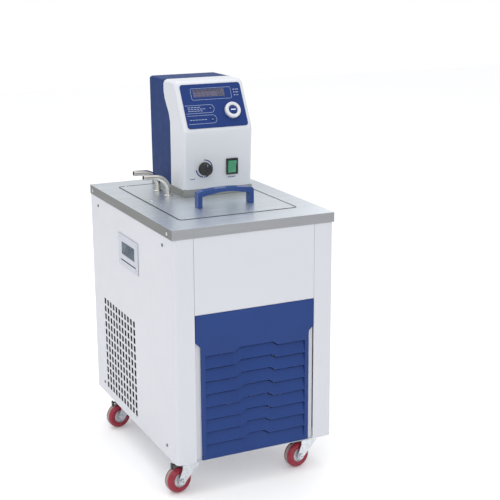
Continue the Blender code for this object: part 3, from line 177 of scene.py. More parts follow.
# name, colour, roughness, metallic; noise of the colour (scale, spread, detail), of the roughness
# (scale, spread, detail) and of the surface (scale, height, strength, detail); other sockets
FINISHES = {
    "white": ("powder_coat_white", (0.630, 0.642, 0.685), 0.45, 0,
        (6, 0.012), (40, 0.05), (900, 0.00006, 0.5, 1.0)),
    "deck": ("brushed_steel_deck", (0.68, 0.73, 0.78), 0.33, 0.88,
        ((5, 60, 60), 0.05), ((8, 900, 900), 0.06, 2.0), ((14, 2600, 2600), 0.00001, 0.35, 2.0)),
    # The next two rows are the deck's steel painted darker as shade: the upright faces darker, the two end
    # faces darker still.
    "skirt": ("shaded_deck_steel_upright", (0.36, 0.37, 0.385), 0.42, 1.0,
        ((8, 8, 700), 0.05), ((10, 10, 900), 0.06, 2.0), ((16, 16, 2200), 0.00002, 0.5, 2.0)),
    "deck_end_shade": ("deeper_shaded_deck_steel_ends", (0.205, 0.21, 0.205), 0.42, 1.0,
        ((8, 8, 700), 0.05), ((10, 10, 900), 0.06, 2.0), ((16, 16, 2200), 0.00002, 0.5, 2.0)),
    "screw": ("dark_screw", (0.16, 0.16, 0.17), 0.35, 1.0,
        (220, 0.10, 1.0), (260, 0.08), (500, 0.00003, 0.4)),
    "handle": ("handle_blue", (0.016, 0.058, 0.235), 0.24, 0,
        (12, 0.05), (60, 0.04), (1500, 0.00003, 0.4, 1.0)),
    "pocket": ("polished_pocket", (0.66, 0.71, 0.76), 0.20, 0.75,
        (60, 0.10), (40, 0.06), (25, 0.0012, 0.5)),
    "tube": ("polished_tube", (0.62, 0.60, 0.56), 0.14, 1.0, (60, 0.06), (140, 0.06), (300, 0.00002, 0.4)),
    "plinth": ("stamped_steel", (0.42, 0.43, 0.40), 0.36, 1.0,
        ((20, 20, 300), 0.08), ((30, 30, 600), 0.07), ((40, 40, 1500), 0.00002, 0.4)),
    "zinc": ("zinc_plate", (0.66, 0.69, 0.72), 0.30, 1.0,
        (220, 0.10, 1.0), (260, 0.08), (500, 0.00003, 0.4)),
    "grip": ("pressed_grip_plate", (0.52, 0.54, 0.60), 0.36, 0.5,
        (30, 0.03), ((30, 600, 30), 0.05), ((40, 1500, 40), 0.00002, 0.5)),
    "blue": ("moulded_blue", (0.014, 0.045, 0.190), 0.42, 0,
        (12, 0.05), (60, 0.04), (1500, 0.00005, 0.5, 1.0), {"Specular IOR Level": 0.25}),
    "film": ("membrane_blue", (0.008, 0.034, 0.175), 0.34, 0,
        (18, 0.04), (90, 0.04), (2600, 0.00002, 0.4, 1.0), {"Specular IOR Level": 0.25}),
    "navy": ("moulded_navy", (0.010, 0.036, 0.150), 0.50, 0,
        (14, 0.04), (60, 0.04), (1500, 0.00005, 0.5, 1.0), {"Specular IOR Level": 0.12}),
    "cover": ("moulded_white", (0.665, 0.690, 0.730), 0.36, 0,
        (9, 0.012), (60, 0.04), (1600, 0.00004, 0.5, 1.0)),
    "black": ("moulded_black", (0.016, 0.016, 0.019), 0.42, 0,
        (90, 0.15), (120, 0.06), (1800, 0.00004, 0.5, 1.0)),
    # A near-black sheet behind the vents: painted shade for the cabinet's dark inside.
    "vent_shade_sheet": ("vent_shade_sheet", (0.005, 0.005, 0.006), 0.9, 0, (200, 0.2), None, (900, 0.0001, 0.5)),
    "enamel": ("black_enamel", (0.012, 0.012, 0.014), 0.28, 0, (30, 0.15), (30, 0.08), (160, 0.0001, 0.3)),
    "green": ("green_rocker", (0.07, 0.36, 0.19), 0.22, 0,
        (160, 0.12), (200, 0.05), (900, 0.00002, 0.3), {"Transmission Weight": 0.15, "Coat Weight": 0.3}),
    "tread": ("red_tread", (0.27, 0.012, 0.032), 0.32, 0, (80, 0.10), (110, 0.08), (600, 0.00008, 0.4)),
    "band": ("worn_tread_band", (0.30, 0.27, 0.25), 0.60, 0,
        (200, 0.15), (200, 0.08), (900, 0.00008, 0.6)),
    "hub": ("hub_silver", (0.56, 0.56, 0.58), 0.34, 0.7, (150, 0.08), (200, 0.08), (700, 0.00004, 0.4)),
    "seal": ("silicone_seal", (0.55, 0.55, 0.53), 0.6, 0, (80, 0.05), (90, 0.06), (700, 0.00005, 0.4)),
    "foam": ("rigid_foam", (0.62, 0.50, 0.28), 0.9, 0, (120, 0.12), (90, 0.05), (500, 0.0006, 0.8)),
    "copper": ("drawn_copper", (0.62, 0.29, 0.17), 0.32, 1.0, (70, 0.14), (90, 0.10), (400, 0.00003, 0.4)),
    "aluminium": ("mill_aluminium", (0.60, 0.61, 0.62), 0.38, 1.0,
        (50, 0.06), ((40, 40, 900), 0.08), ((60, 60, 1600), 0.00003, 0.5)),
    "board": ("solder_mask", (0.02, 0.16, 0.07), 0.35, 0, (500, 0.25), (200, 0.08), (900, 0.00006, 0.5)),
    "window": ("display_window", (0.100, 0.095, 0.165), 0.14, 0,
        (60, 0.10), (60, 0.03), (900, 0.00001, 0.3)),
    "segments": ("display_segments", (0.030, 0.028, 0.040), 0.25, 0,
        (300, 0.10), (200, 0.05), (900, 0.00001, 0.3)),
    "print": ("white_print", (0.42, 0.50, 0.68), 0.40, 0, (400, 0.05), (300, 0.05), (2600, 0.00001, 0.3)),
    # White print, and also the painted highlight on the key caps.
    "bright": ("white_print_and_key_highlight", (0.78, 0.82, 0.88), 0.40, 0,
        (400, 0.04), (300, 0.05), (2600, 0.00001, 0.3)),
    "ink": ("blue_print", (0.020, 0.036, 0.19), 0.42, 0, (400, 0.05), (300, 0.05), (2600, 0.00001, 0.3)),
}


def painted(name, colour, roughness, metallic, tint, gloss, grain, sockets=None):
    paint = Paint(name, colour, roughness, metallic).tint(*tint)
    if gloss:
        paint.gloss(*gloss)
    return paint.grain(*grain).set(sockets or {}).material


PAINT = {key: painted(*finish) for key, finish in FINISHES.items()}


# ---- shape helpers
def mesh_from(bm, name):
    """A mesh from a bmesh, with every face turned outwards."""
    bmesh.ops.recalc_face_normals(bm, faces=bm.faces[:])
    mesh = bpy.data.meshes.new(name)
    bm.to_mesh(mesh)
    bm.free()
    return mesh


def skin(bm, loops, capped=False):
    """Join each closed loop of vertices to the next, and close the two ends where asked."""
    for first, second in zip(loops, loops[1:]):
        for k in range(len(first)):
            following = (k + 1) % len(first)
            bm.faces.new((first[k], first[following], second[following], second[k]))
    if capped:
        bm.faces.new(loops[0])
        bm.faces.new(loops[-1])


def joined(name, meshes):
    """One mesh from many."""
    bm = bmesh.new()
    for mesh in meshes:
        bm.from_mesh(mesh)
    return mesh_from(bm, name)


def arc(centre, radius, start, end, count):
    """Points of an arc; angles in degrees."""
    angles = [math.radians(start + (end - start) * i / count) for i in range(count + 1)]
    return [(centre[0] + radius * math.cos(a), centre[1] + radius * math.sin(a)) for a in angles]


def round_rectangle(low, high, radius, count=6):
    (x0, y0), (x1, y1) = low, high
    points = []
    for x, y, start in ((x0, y0, 180), (x1, y0, 270), (x1, y1, 0), (x0, y1, 90)):
        centre = (x + math.copysign(radius, (x0 + x1) / 2 - x),
                  y + math.copysign(radius, (y0 + y1) / 2 - y))
        points += arc(centre, radius, start, start + 90, count)
    return points


def rectangle(low, high):
    return [low, (high[0], low[1]), high, (low[0], high[1])]


def flat(name, outlines, low, high):
    """A flat solid in XY between two heights: the first outline, less the others."""
    curve = bpy.data.curves.new(name, "CURVE")
    curve.dimensions = "2D"
    curve.fill_mode = "BOTH"
    curve.extrude = (high - low) / 2
    for points in outlines:
        spline = curve.splines.new("POLY")
        spline.points.add(len(points) - 1)
        for knot, (x, y) in zip(spline.points, points):
            knot.co = (x, y, 0, 1)
        spline.use_cyclic_u = True
    mesh = evaluated_mesh(link(name, curve))
    bm = bmesh.new()
    bm.from_mesh(mesh)
    bmesh.ops.remove_doubles(bm, verts=bm.verts[:], dist=1e-6)
    bmesh.ops.translate(bm, verts=bm.verts[:], vec=(0, 0, (low + high) / 2))
    return mesh_from(bm, name)


# turns a drawing in XY up into XZ, facing -Y
STAND = Matrix(((1, 0, 0, 0), (0, 0, -1, 0), (0, 1, 0, 0), (0, 0, 0, 1)))


def turned_mesh(name, profile, steps=64, closed=False):
    """A (radius, height) profile revolved about Z."""
    bm = bmesh.new()
    knots = [bm.verts.new((radius, 0, height)) for radius, height in profile]
    edges = [bm.edges.new(pair) for pair in zip(knots, knots[1:])]
    if closed:
        edges.append(bm.edges.new((knots[-1], knots[0])))
    bmesh.ops.spin(bm, geom=knots + edges, cent=(0, 0, 0), axis=(0, 0, 1), angle=2 * math.pi,
                   steps=steps, use_merge=True)
    bmesh.ops.remove_doubles(bm, verts=bm.verts[:], dist=1e-6)
    return mesh_from(bm, name)


def eased(profile, radius, count=3):
    """Round the inner corners of a profile with short quadratic curves."""
    points = [Vector(point) for point in profile]
    path = [points[0]]
    for before, corner, after in zip(points, points[1:], points[2:]):
        back, forth = before - corner, after - corner
        reach = min(radius, back.length * 0.45, forth.length * 0.45)
        start, end = corner + back.normalized() * reach, corner + forth.normalized() * reach
        for i in range(count + 1):
            t = i / count
            path.append(start * (1 - t) ** 2 + corner * 2 * t * (1 - t) + end * t ** 2)
    return [tuple(point) for point in path] + [tuple(points[-1])]


def tube_mesh(name, path, radius, sides=20, bore=None):
    """A round tube along a path, with an open bore where one is given."""
    rings = []
    bm = bmesh.new()
    normal = None
    radii = [radius] if bore is None else [radius, bore]
    for i, point in enumerate(path):
        ahead = (path[min(i + 1, len(path) - 1)] - path[max(i - 1, 0)]).normalized()
        if normal is None:
            normal = ahead.orthogonal().normalized()
        normal = (normal - ahead * normal.dot(ahead)).normalized()
        across = ahead.cross(normal)
        ring = []
        for size in radii:
            ring.append([bm.verts.new(point + (normal * math.cos(a) + across * math.sin(a)) * size)
                         for a in (2 * math.pi * k / sides for k in range(sides))])
        rings.append(ring)
    for wall in zip(*rings):
        skin(bm, wall, capped=bore is None)
    if bore is not None:
        skin(bm, rings[0])
        skin(bm, rings[-1])
    return mesh_from(bm, name)


def smooth_path(points, bend, count=14):
    """A polyline whose inner corners are rounded to the bend radius."""
    points = [Vector(point) for point in points]
    path = [points[0]]
    for before, corner, after in zip(points, points[1:], points[2:]):
        back, forth = (before - corner).normalized(), (after - corner).normalized()
        half_angle = back.angle(forth) / 2
        reach = bend / math.tan(half_angle)
        centre = corner + (back + forth).normalized() * bend / math.sin(half_angle)
        start, end = corner + back * reach - centre, corner + forth * reach - centre
        for i in range(count + 1):
            path.append(centre + start.normalized().slerp(end.normalized(), i / count) * bend)
    path.append(points[-1])
    return path


def box_mesh(name, *boxes):
    bm = bmesh.new()
    for low, high in boxes:
        low, high = Vector(low), Vector(high)
        place = Matrix.Translation((low + high) / 2) @ Matrix.Diagonal((*(high - low), 1))
        bmesh.ops.create_cube(bm, size=1, matrix=place)
    return mesh_from(bm, name)


def refined(node, paint, width=0.0006, segments=2, angle=35):
    """A finer copy of a CAD node: its flats merged, its edges rounded and shaded smooth."""
    source = frame["nodes"][node].data
    bm = bmesh.new()
    bm.from_mesh(source)
    for layer in list(bm.loops.layers.float_vector.values()):
        bm.loops.layers.float_vector.remove(layer)
    bmesh.ops.remove_doubles(bm, verts=bm.verts[:], dist=2e-6)
    bmesh.ops.dissolve_limit(bm, angle_limit=math.radians(0.4), verts=bm.verts[:], edges=bm.edges[:])
    mesh = mesh_from(bm, node)
    for attribute in [a for a in mesh.attributes if a.name == "custom_normal"]:
        mesh.attributes.remove(attribute)
    return stand_for(softened(node + "_piece", mesh, paint, width, segments, angle), node)


def shaded(name, mesh, paint, angle=30):
    """An object with one material, smooth except at edges sharper than the angle."""
    mesh.materials.clear()
    mesh.materials.append(PAINT[paint])
    mesh.shade_smooth()
    mesh.set_sharp_from_angle(angle=math.radians(angle))
    return link(name, mesh)


def cut(piece, *cutters):
    """Subtract closed meshes from a piece and bake the result."""
    for number, cutter in enumerate(cutters):
        tool = link(f"tool_{number}", cutter)
        change = piece.modifiers.new(f"cut_{number}", "BOOLEAN")
        change.operation = "DIFFERENCE"
        change.object = tool
    mesh = evaluated_mesh(piece)
    for tool in [o for o in bpy.data.objects if o.name.startswith("tool_")]:
        bpy.data.objects.remove(tool, do_unlink=True)
    return mesh


def softened(name, mesh, paint, width, segments=2, angle=35):
    """An object with one material: its edges rounded, and smooth except that flats stay flat."""
    piece = link(name + "_draft", mesh)
    bevel = piece.modifiers.new("edges", "BEVEL")
    bevel.width, bevel.segments = width, segments
    bevel.limit_method, bevel.angle_limit = "ANGLE", math.radians(angle)
    mesh.shade_smooth()
    weighted = piece.modifiers.new("flats", "WEIGHTED_NORMAL")
    weighted.keep_sharp, weighted.weight = True, 80
    result = evaluated_mesh(piece)
    result.name = name
    result.materials.clear()
    result.materials.append(PAINT[paint])
    for polygon in result.polygons:
        polygon.material_index = 0
        polygon.use_smooth = True
    return link(name, result)


def moved(mesh, matrix):
    mesh.transform(matrix)
    return mesh


# ---- cabinet
def build_cabinet():
    for node in ("left_side_panel", "right_side_panel"):
        refined(node, "white", 0.00045)
    for node in ("front_panel", "back_panel", "base_pan", "inner_frame"):
        refined(node, "white", 0.0004)
    for node in ("left_grip", "right_grip"):
        low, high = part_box(node)
        outside = max(abs(low.x), abs(high.x))
        plate = refined(node, "grip", 0.0006)
        plate.data.materials.append(PAINT["pocket"])
        for polygon in plate.data.polygons:
            if abs(polygon.center.x) < outside - 0.0016:
                polygon.material_index = 1
    refined("power_inlet", "black", 0.0005)
    # Painted shade: near-black sheets behind the vents.
    build_vent_shade_sheets()


def pleats(start, end, near, depth=0.0014, thick=0.0008, pitch=0.003):
    """Outline of a pleated sheet, as (along, across) points."""
    count = round((end - start) / pitch)
    front = [(start + (end - start) * i / count, near + depth * (i % 2)) for i in range(count + 1)]
    return front + [(along, across + thick) for along, across in reversed(front)]


def build_vent_shade_sheets():
    """Near-black pleated sheets behind the vents at both sides and the back: painted shade for the dark
    inside of the cabinet.
    """
    side, back = pleats(-0.024, 0.168, 0.1528), pleats(0.004, 0.136, 0.2170)
    sheets = (("left_side_panel", [(-x, y) for y, x in side], 0.0825, 0.290),
              ("right_side_panel", [(x, y) for y, x in side], 0.0825, 0.290),
              ("back_panel", back, 0.144, 0.306))
    for node, outline, low, high in sheets:
        sheet = shaded(f"{node}_filter", flat("filter", [outline], low, high), "vent_shade_sheet", 30)
        go_with(sheet, node)


# grille outline and louvres, from the grille node's box
GRILLE_LOW, GRILLE_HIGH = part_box("front_grille")
GRILLE_FACE = GRILLE_LOW.y
LOUVRES, LOUVRE_PITCH = 8, 0.0244
LOUVRE_TOP = GRILLE_HIGH.z - 0.0778
LOUVRE_END, LOUVRE_RAMP, LOUVRE_RISE = 0.1005, 0.0110, 0.0072
GRILLE_WALL = 0.0028
BLADE_DEPTH, BLADE_SHEET = 0.0042, 0.0015


def louvre_stations(row):
    """Half widths of the raised stretch of a louvre's line: its top and its foot."""
    flat_half = 0.0338 - 0.0026 * row
    return flat_half, flat_half + LOUVRE_RAMP


def louvre_height(row, x):
    """Height of the line above a blade: level, with a raised middle that shortens lower down."""
    level = LOUVRE_TOP - row * LOUVRE_PITCH
    if row == LOUVRES:
        return level
    top, foot = louvre_stations(row)
    share = (foot - abs(x)) / (foot - top)
    return level + LOUVRE_RISE * min(1.0, max(0.0, share))


def grille_outline(inset):
    narrow_step = 0.0098
    wide, top = GRILLE_HIGH.x - inset, GRILLE_HIGH.z - inset
    narrow, bottom = GRILLE_HIGH.x - narrow_step - inset, GRILLE_LOW.z + inset
    shoulder = GRILLE_HIGH.z - 0.051 + inset * math.tan(math.radians(22.5))
    right = [(narrow, bottom), (narrow, shoulder - narrow_step), (wide, shoulder), (wide, top)]
    return right + [(-x, z) for x, z in reversed(right)]


def grille_window(grow):
    """The opening that the blades fill: its top edge follows the first louvre's line."""
    top, foot = louvre_stations(0)
    level, end = LOUVRE_TOP + grow, LOUVRE_END + grow
    bottom = LOUVRE_TOP - LOUVRES * LOUVRE_PITCH - grow
    return [(-end, bottom), (end, bottom), (end, level), (foot, level), (top, level + LOUVRE_RISE),
            (-top, level + LOUVRE_RISE), (-foot, level), (-end, level)]


def standing(mesh, front):
    """Turn a drawing extruded from 0 backwards so that its front lies in the plane Y = front."""
    mesh.transform(Matrix.Translation((0, front, 0)) @ STAND)
    return mesh


def build_grille_frame():
    depth = GRILLE_HIGH.y - GRILLE_FACE
    shell = link("grille_shell", standing(flat("shell", [grille_outline(0)], -depth, 0), GRILLE_FACE))
    hollow = standing(flat("hollow", [grille_outline(GRILLE_WALL)], -depth - 0.002, -GRILLE_WALL),
                      GRILLE_FACE)
    window = standing(flat("window", [grille_window(0)], -depth - 0.004, 0.004), GRILLE_FACE)
    mesh = cut(shell, hollow, window)
    stand_for(softened("front_grille_frame", mesh, "blue", 0.0007, 3), "front_grille")
    half = 0.0008
    boxes = [((middle - half, GRILLE_FACE + 0.0029, GRILLE_LOW.z + 0.004),
              (middle + half, GRILLE_FACE + 0.0085, LOUVRE_TOP + 0.002))
             for middle in (-LOUVRE_END - half, LOUVRE_END + half)]
    go_with(softened("front_grille_cheeks", box_mesh("cheeks", *boxes), "blue", 0.0003), "front_grille")


def build_blade(row):
    """One louvre blade: its lower edge is flush and its top tucks in behind the piece above."""
    marks = {LOUVRE_END, *louvre_stations(row)}
    if row + 1 < LOUVRES:
        marks.update(louvre_stations(row + 1))
    stations = sorted({side * mark for mark in marks for side in (-1, 1)})
    front, back = GRILLE_FACE, GRILLE_FACE + BLADE_DEPTH
    bm = bmesh.new()
    loops = []
    for x in stations:
        top, foot = louvre_height(row, x), louvre_height(row + 1, x)
        section = [(back, top - 0.0021), (front + 0.0002, foot + 0.0022), (front, foot + 0.0002),
                   (front + BLADE_SHEET, foot + 0.0002), (front + BLADE_SHEET + 0.0002, foot + 0.0018),
                   (back + BLADE_SHEET, top - 0.0024)]
        loops.append([bm.verts.new((x, y, z)) for y, z in section])
    skin(bm, loops, capped=True)
    mesh = mesh_from(bm, "blade")
    go_with(softened(f"louvre_blade_{row + 1}", mesh, "blue", 0.0003, 2, 25), "front_grille")


def build_front_grille():
    build_grille_frame()
    for row in range(LOUVRES):
        build_blade(row)


# ---- fasteners
def screw_mesh(radius, height):
    """A pan head with a cross recess, standing on XY."""
    head = turned_mesh("head", eased([(0, height), (radius * 0.55, height), (radius, height * 0.45),
                                      (radius, -0.0003), (0, -0.0003)], radius * 0.3), 24)
    arm, width, depth = radius * 0.55, radius * 0.16, height * 0.6
    cross = [box_mesh("arm", ((-a, -b, height - depth), (a, b, height + 0.001)))
             for a, b in ((arm, width), (width, arm))]
    return cut(link("head", head), *cross)


def screw_row(name, node, places, axis, radius=0.0034, height=0.0016, paint="zinc"):
    """One object of equal screws, at places on a node's surface that face along the axis."""
    bm = bmesh.new()
    source = screw_mesh(radius, height)
    turn = Vector(axis).to_track_quat("Z", "Y").to_matrix().to_4x4()
    for number, place in enumerate(places):
        spin = Matrix.Rotation(math.radians(37 * number + 15), 4, "Z")
        copy = source.copy()
        copy.transform(Matrix.Translation(place) @ turn @ spin)
        bm.from_mesh(copy)
    mesh = mesh_from(bm, name)
    go_with(shaded(name, mesh, paint, 35), node)


def build_fasteners():
    deck_low, deck_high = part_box("deck")
    side_low, side_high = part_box("left_side_panel")[0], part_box("right_side_panel")[1]
    skirt = deck_low.z + 0.0085
    for side, word, deck_x, panel_x in ((-1, "left", deck_low.x, side_low.x),
                                        (1, "right", deck_high.x, side_high.x)):
        facing = (side, 0, 0)
        places = [(deck_x, y, skirt) for y in (-0.203, 0.205)]
        screw_row(f"{word}_skirt_screws", "deck", places, facing, 0.0034, 0.0016)
        screw_row(f"{word}_skirt_washers", "deck", places, facing, 0.0050, 0.0005, "screw")
        rows = [(panel_x, y, z) for y in (-0.176, 0.178) for z in (0.089, 0.468)]
        screw_row(f"{word}_panel_screws", f"{word}_side_panel", rows, facing, 0.0032, 0.0014, "screw")
        low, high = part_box(f"{word}_grip")
        outside = low.x if side < 0 else high.x
        corners = [(outside, y, z) for y in (low.y + 0.008, high.y - 0.008)
                   for z in (high.z - 0.0075, low.z + 0.0065)]
        screw_row(f"{word}_grip_screws", f"{word}_grip", corners, facing, 0.0026, 0.0010)
    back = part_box("back_panel")[1].y
    screw_row("back_panel_screws", "back_panel",
              [(x, back, z) for x in (-0.148, 0, 0.148) for z in (0.080, 0.470)],
              (0, 1, 0), 0.0027, 0.0012)
    low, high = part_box("power_inlet")
    screw_row("inlet_screws", "power_inlet", [(x, high.y, (low.z + high.z) / 2)
                                              for x in (low.x + 0.0042, high.x - 0.0042)],
              (0, 1, 0), 0.0024, 0.0011)
    low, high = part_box("bridge_plate")
    screw_row("bridge_screws", "bridge_plate",
              [(-0.1035, low.y + 0.008, high.z), (0.1115, low.y + 0.008, high.z),
               (-0.1035, high.y - 0.006, high.z), (0.1115, high.y - 0.006, high.z)],
              (0, 0, 1), 0.0032, 0.0014)
    low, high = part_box("rear_shell")
    screw_row("shell_screws", "rear_shell",
              [(x, high.y, z) for x in (low.x + 0.016, high.x - 0.016) for z in (0.590, 0.705)],
              (0, 1, 0), 0.0026, 0.0010, "black")
    for corner in ("front_left", "front_right", "back_left", "back_right"):
        low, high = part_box(f"castor_{corner}_plate")
        under = high.z - 0.0025
        screw_row(f"castor_{corner}_bolts", f"castor_{corner}_plate",
                  [(x, y, under) for x in (low.x + 0.0075, high.x - 0.0075)
                   for y in (low.y + 0.0065, high.y - 0.0065)], (0, 0, -1), 0.0042, 0.0026)


# ---- bath
COVER_TOP = 0.5043
AIR = 0.0003


def build_deck_and_covers():
    deck = refined("deck", "deck", 0.0005, 3)
    # Painted shade: the deck's upright faces take a darker copy of its steel, and the faces turned
    # sideways a darker one still.
    deck.data.materials.append(PAINT["skirt"])
    deck.data.materials.append(PAINT["deck_end_shade"])
    for polygon in deck.data.polygons:
        if abs(polygon.normal.z) < 0.5:
            polygon.material_index = 2 if abs(polygon.normal.x) > 0.7 else 1
    # Painted shade: black strips along the seams round the lid and the bridge plate.
    build_seam_shade_strips()
    for node, width in (("lid", 0.0004), ("bridge_plate", 0.0004), ("tank", 0.0003)):
        refined(node, "deck", width)
    refined("tank_insulation", "foam", 0.0006, 1)
    refined("lid_gasket", "seal", 0.0004)


def strip(path, width):
    """Outline of a strip of even width along a path in XY."""
    left, right = [], []
    for i, point in enumerate(path):
        ahead = (path[min(i + 1, len(path) - 1)] - path[max(i - 1, 0)]).normalized()
        across = Vector((-ahead.y, ahead.x, 0)) * width / 2
        left.append(tuple((point + across).xy))
        right.append(tuple((point - across).xy))
    return left + right[::-1]


def build_seam_shade_strips():
    """Black strips over three edges of the lid and of the bridge plate: painted shade for the dark seams
    round them.
    """
    out, width, top = 0.00015, 0.0025, COVER_TOP + 0.0003
    for node, near_first in (("lid", False), ("bridge_plate", True)):
        low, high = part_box(node)
        left, right = low.x - out, high.x + out
        start, end = (low.y, high.y + out) if near_first else (high.y, low.y - out)
        route = [(left, start, 0), (left, end, 0), (right, end, 0), (right, start, 0)]
        trim = flat("trim", [strip(smooth_path(route, 0.0080, 6), width)], top - 0.0022, top)
        go_with(shaded(f"{node}_edge_trim", trim, "black", 35), node)


def bow(start, end, low, high, count):
    """Points of a bar that rises in the middle by half a sine wave."""
    return [(start + (end - start) * i / count, low + (high - low) * math.sin(math.pi * i / count))
            for i in range(count + 1)]


def build_handle():
    left, right, middle, depth = -0.0515, 0.0625, -0.079, 0.017
    base, foot = COVER_TOP + AIR, 0.0085
    shoulder, crown, under_end, under_crown = 0.5335, 0.5389, 0.5252, 0.5315
    outer = [(left, base)] + arc((left + 0.006, shoulder - 0.004), 0.006, 180, 120, 6)
    outer += bow(left + 0.010, right - 0.010, shoulder + 0.0022, crown, 30)
    outer += arc((right - 0.006, shoulder - 0.004), 0.006, 60, 0, 6) + [(right, base)]
    inner = [(right - foot, base)] + bow(right - foot, left + foot, under_end, under_crown, 24)
    inner += [(left + foot, base)]
    bar = standing(flat("bar", [outer + inner], -depth, 0), middle - depth / 2)
    stand_for(softened("lid_handle_bar", bar, "handle", 0.0026, 6, 50), "lid_handle")
    for number, x in enumerate((left + foot / 2, right - foot / 2)):
        under = COVER_TOP - 0.0012
        stud = turned_mesh("stud", [(0, base + 0.004), (0.0025, base + 0.004), (0.0025, under - 0.0010),
                                    (0.0021, under - 0.0012), (0, under - 0.0012)], 24)
        stud.transform(Matrix.Translation((x, middle, 0)))
        go_with(shaded(f"handle_stud_{number + 1}", stud, "zinc"), "lid_handle")


def build_tubes():
    level, end, bend, radius, bore = 0.5415, -0.109, 0.028, 0.0055, 0.0043
    routes = {
        "outlet": [(0.0112, 0.100, 0.368), (-0.059, 0.100, 0.368), (-0.059, 0.100, level),
                   (end, 0.100, level + 0.002)],
        "return": [(-0.057, 0.050, 0.400), (-0.057, 0.050, level), (end + 0.0015, 0.050, level + 0.002)],
    }
    for word, route in routes.items():
        path = smooth_path(route, bend, 18)
        tube = shaded(f"{word}_tube_pipe", tube_mesh(word, path, radius, 36, bore), "tube", 50)
        stand_for(tube, f"{word}_tube")
        x, y, _ = route[-2]
        collar = turned_mesh("collar", eased([
            (radius + 0.0001, COVER_TOP + AIR), (0.0092, COVER_TOP + AIR), (0.0092, COVER_TOP + 0.0012),
            (0.0068, COVER_TOP + 0.0026), (radius + 0.0001, COVER_TOP + 0.0026)], 0.0007), 48)
        collar.transform(Matrix.Translation((x, y, 0)))
        go_with(shaded(f"{word}_tube_collar", collar, "tube", 40), "bridge_plate")


def build_bath_fittings():
    """Pump, heater, probe and cooling coil: round, smooth versions of the frame's solids."""
    for node in ("pump_motor", "pump_column", "pump_shaft", "temperature_probe"):
        refined(node, "aluminium" if node == "pump_motor" else "tube", 0.0004, 2, 25)
    refined("pump_impeller", "black", 0.0004)
    x, y, radius, top, bottom, turns = 0.058, 0.050, 0.022, 0.440, 0.385, 3.5
    head, per_turn = 0.5120, 28
    points = [(x + radius, y, head), (x + radius, y, top + 0.012)]
    count = int(turns * per_turn)
    for i in range(count + 1):
        angle = 2 * math.pi * i / per_turn
        points.append((x + radius * math.cos(angle), y + radius * math.sin(angle),
                       top + (bottom - top) * i / count))
    points += [(x - 0.011, y, bottom - 0.004), (x - 0.002, y, bottom), (x, y, bottom + 0.010),
               (x, y, head)]
    heater = tube_mesh("heater", [Vector(point) for point in points], 0.0040, 16)
    stand_for(shaded("heater_element", heater, "tube", 50), "heater_coil")
    build_cooling_coil()


def build_cooling_coil():
    """Copper coil round the tank's walls; both ends leave through the tank's back near its top."""
    half_x, front, back, corner = 0.094, -0.139, 0.151, 0.022
    loops, low, pitch, per_corner = 3, 0.352, 0.011, 6
    top = low + loops * pitch
    corners = [(-half_x, back, 90), (-half_x, front, 180), (half_x, front, 270), (half_x, back, 0)]
    first_x, last_x, exit_z = -0.040, -0.070, 0.4820
    points = [(first_x, 0.186, exit_z), (first_x, back + 0.006, exit_z),
              (first_x, back + 0.001, exit_z - 0.004), (first_x, back, exit_z - 0.012),
              (first_x, back, top + 0.012),
              (first_x - 0.003, back, top + 0.004), (first_x - 0.011, back, top)]
    count = loops * len(corners)
    for number in range(count):
        x, y, start = corners[number % len(corners)]
        centre = (x - math.copysign(corner, x), y - math.copysign(corner, y))
        for i, place in enumerate(arc(centre, corner, start, start + 90, per_corner)):
            points.append((*place, top - pitch * loops * (number + i / per_corner) / count))
    lane = back - 0.012
    points += [(0.000, back, low - 0.001), (-0.024, lane, low - 0.001), (last_x + 0.012, lane, low),
               (last_x + 0.004, lane, low + 0.004), (last_x, lane, low + 0.012),
               (last_x, lane, exit_z - 0.012), (last_x, lane + 0.004, exit_z - 0.004),
               (last_x, lane + 0.012, exit_z), (last_x, 0.186, exit_z)]
    coil = tube_mesh("coil", [Vector(point) for point in points], 0.0040, 16)
    stand_for(shaded("cooling_coil", coil, "copper", 50), "evaporator_coil")


# ---- cooling unit
def build_cooling_unit():
    refined("compressor", "enamel", 0.0008, 2, 25)
    refined("fan_shroud", "black", 0.0004, 2, 25)
    refined("fan_motor", "black", 0.0005, 2, 25)
    refined("fan_blade", "aluminium", 0.0003, 2, 25)
    low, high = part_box("condenser")
    block_low, block_high = low.z + 0.028, high.z
    fins, pitch = [], 0.0036
    for row in range(int((block_high - block_low) / pitch)):
        z = block_low + 0.0012 + row * pitch
        fins.append(((low.x + 0.0005, low.y, z), (high.x - 0.0005, high.y, z + 0.0006)))
    plates = [((x, low.y, block_low), (x + 0.0012, high.y, block_high)) for x in (low.x, high.x - 0.0012)]
    stand = [((-0.070, low.y + 0.008, low.z), (0.070, high.y - 0.008, block_low))]
    stand_for(shaded("condenser_fins", box_mesh("fins", *fins, *plates, *stand), "aluminium"), "condenser")
    for row in range(7):
        z = block_low + 0.014 + row * 0.0245
        for depth in (low.y + 0.009, high.y - 0.009):
            path = [Vector((x, depth, z)) for x in (low.x + 0.0002, high.x - 0.0002)]
            pipe = tube_mesh("pipe", path, 0.0038, 16)
            place = "front" if depth < (low.y + high.y) / 2 else "rear"
            go_with(shaded(f"condenser_pipe_{place}_{row + 1}", pipe, "copper", 50), "condenser")


# ---- castors
def joint_frame(name):
    """A frame at a joint's point whose Z runs along its axis."""
    joint = JOINT[name]
    turn = Vector(joint["axis"]).to_track_quat("Z", "Y").to_matrix().to_4x4()
    return Matrix.Translation(joint["pos_m"]) @ turn


def mirrored(profile):
    """Complete a half profile with its mirror image in height."""
    return profile + [(radius, -height) for radius, height in reversed(profile)]


def swivel_frame(corner):
    """A frame on the floor under the kingpin whose X points to the wheel's side."""
    pin, hub = (Vector(JOINT[f"castor_{corner}_{move}"]["pos_m"]) for move in ("turn", "roll"))
    trail, up = Vector((hub.x - pin.x, hub.y - pin.y, 0)).normalized(), Vector((0, 0, 1))
    turn = Matrix((trail, up.cross(trail), up)).transposed().to_4x4()
    return Matrix.Translation((pin.x, pin.y, 0)) @ turn


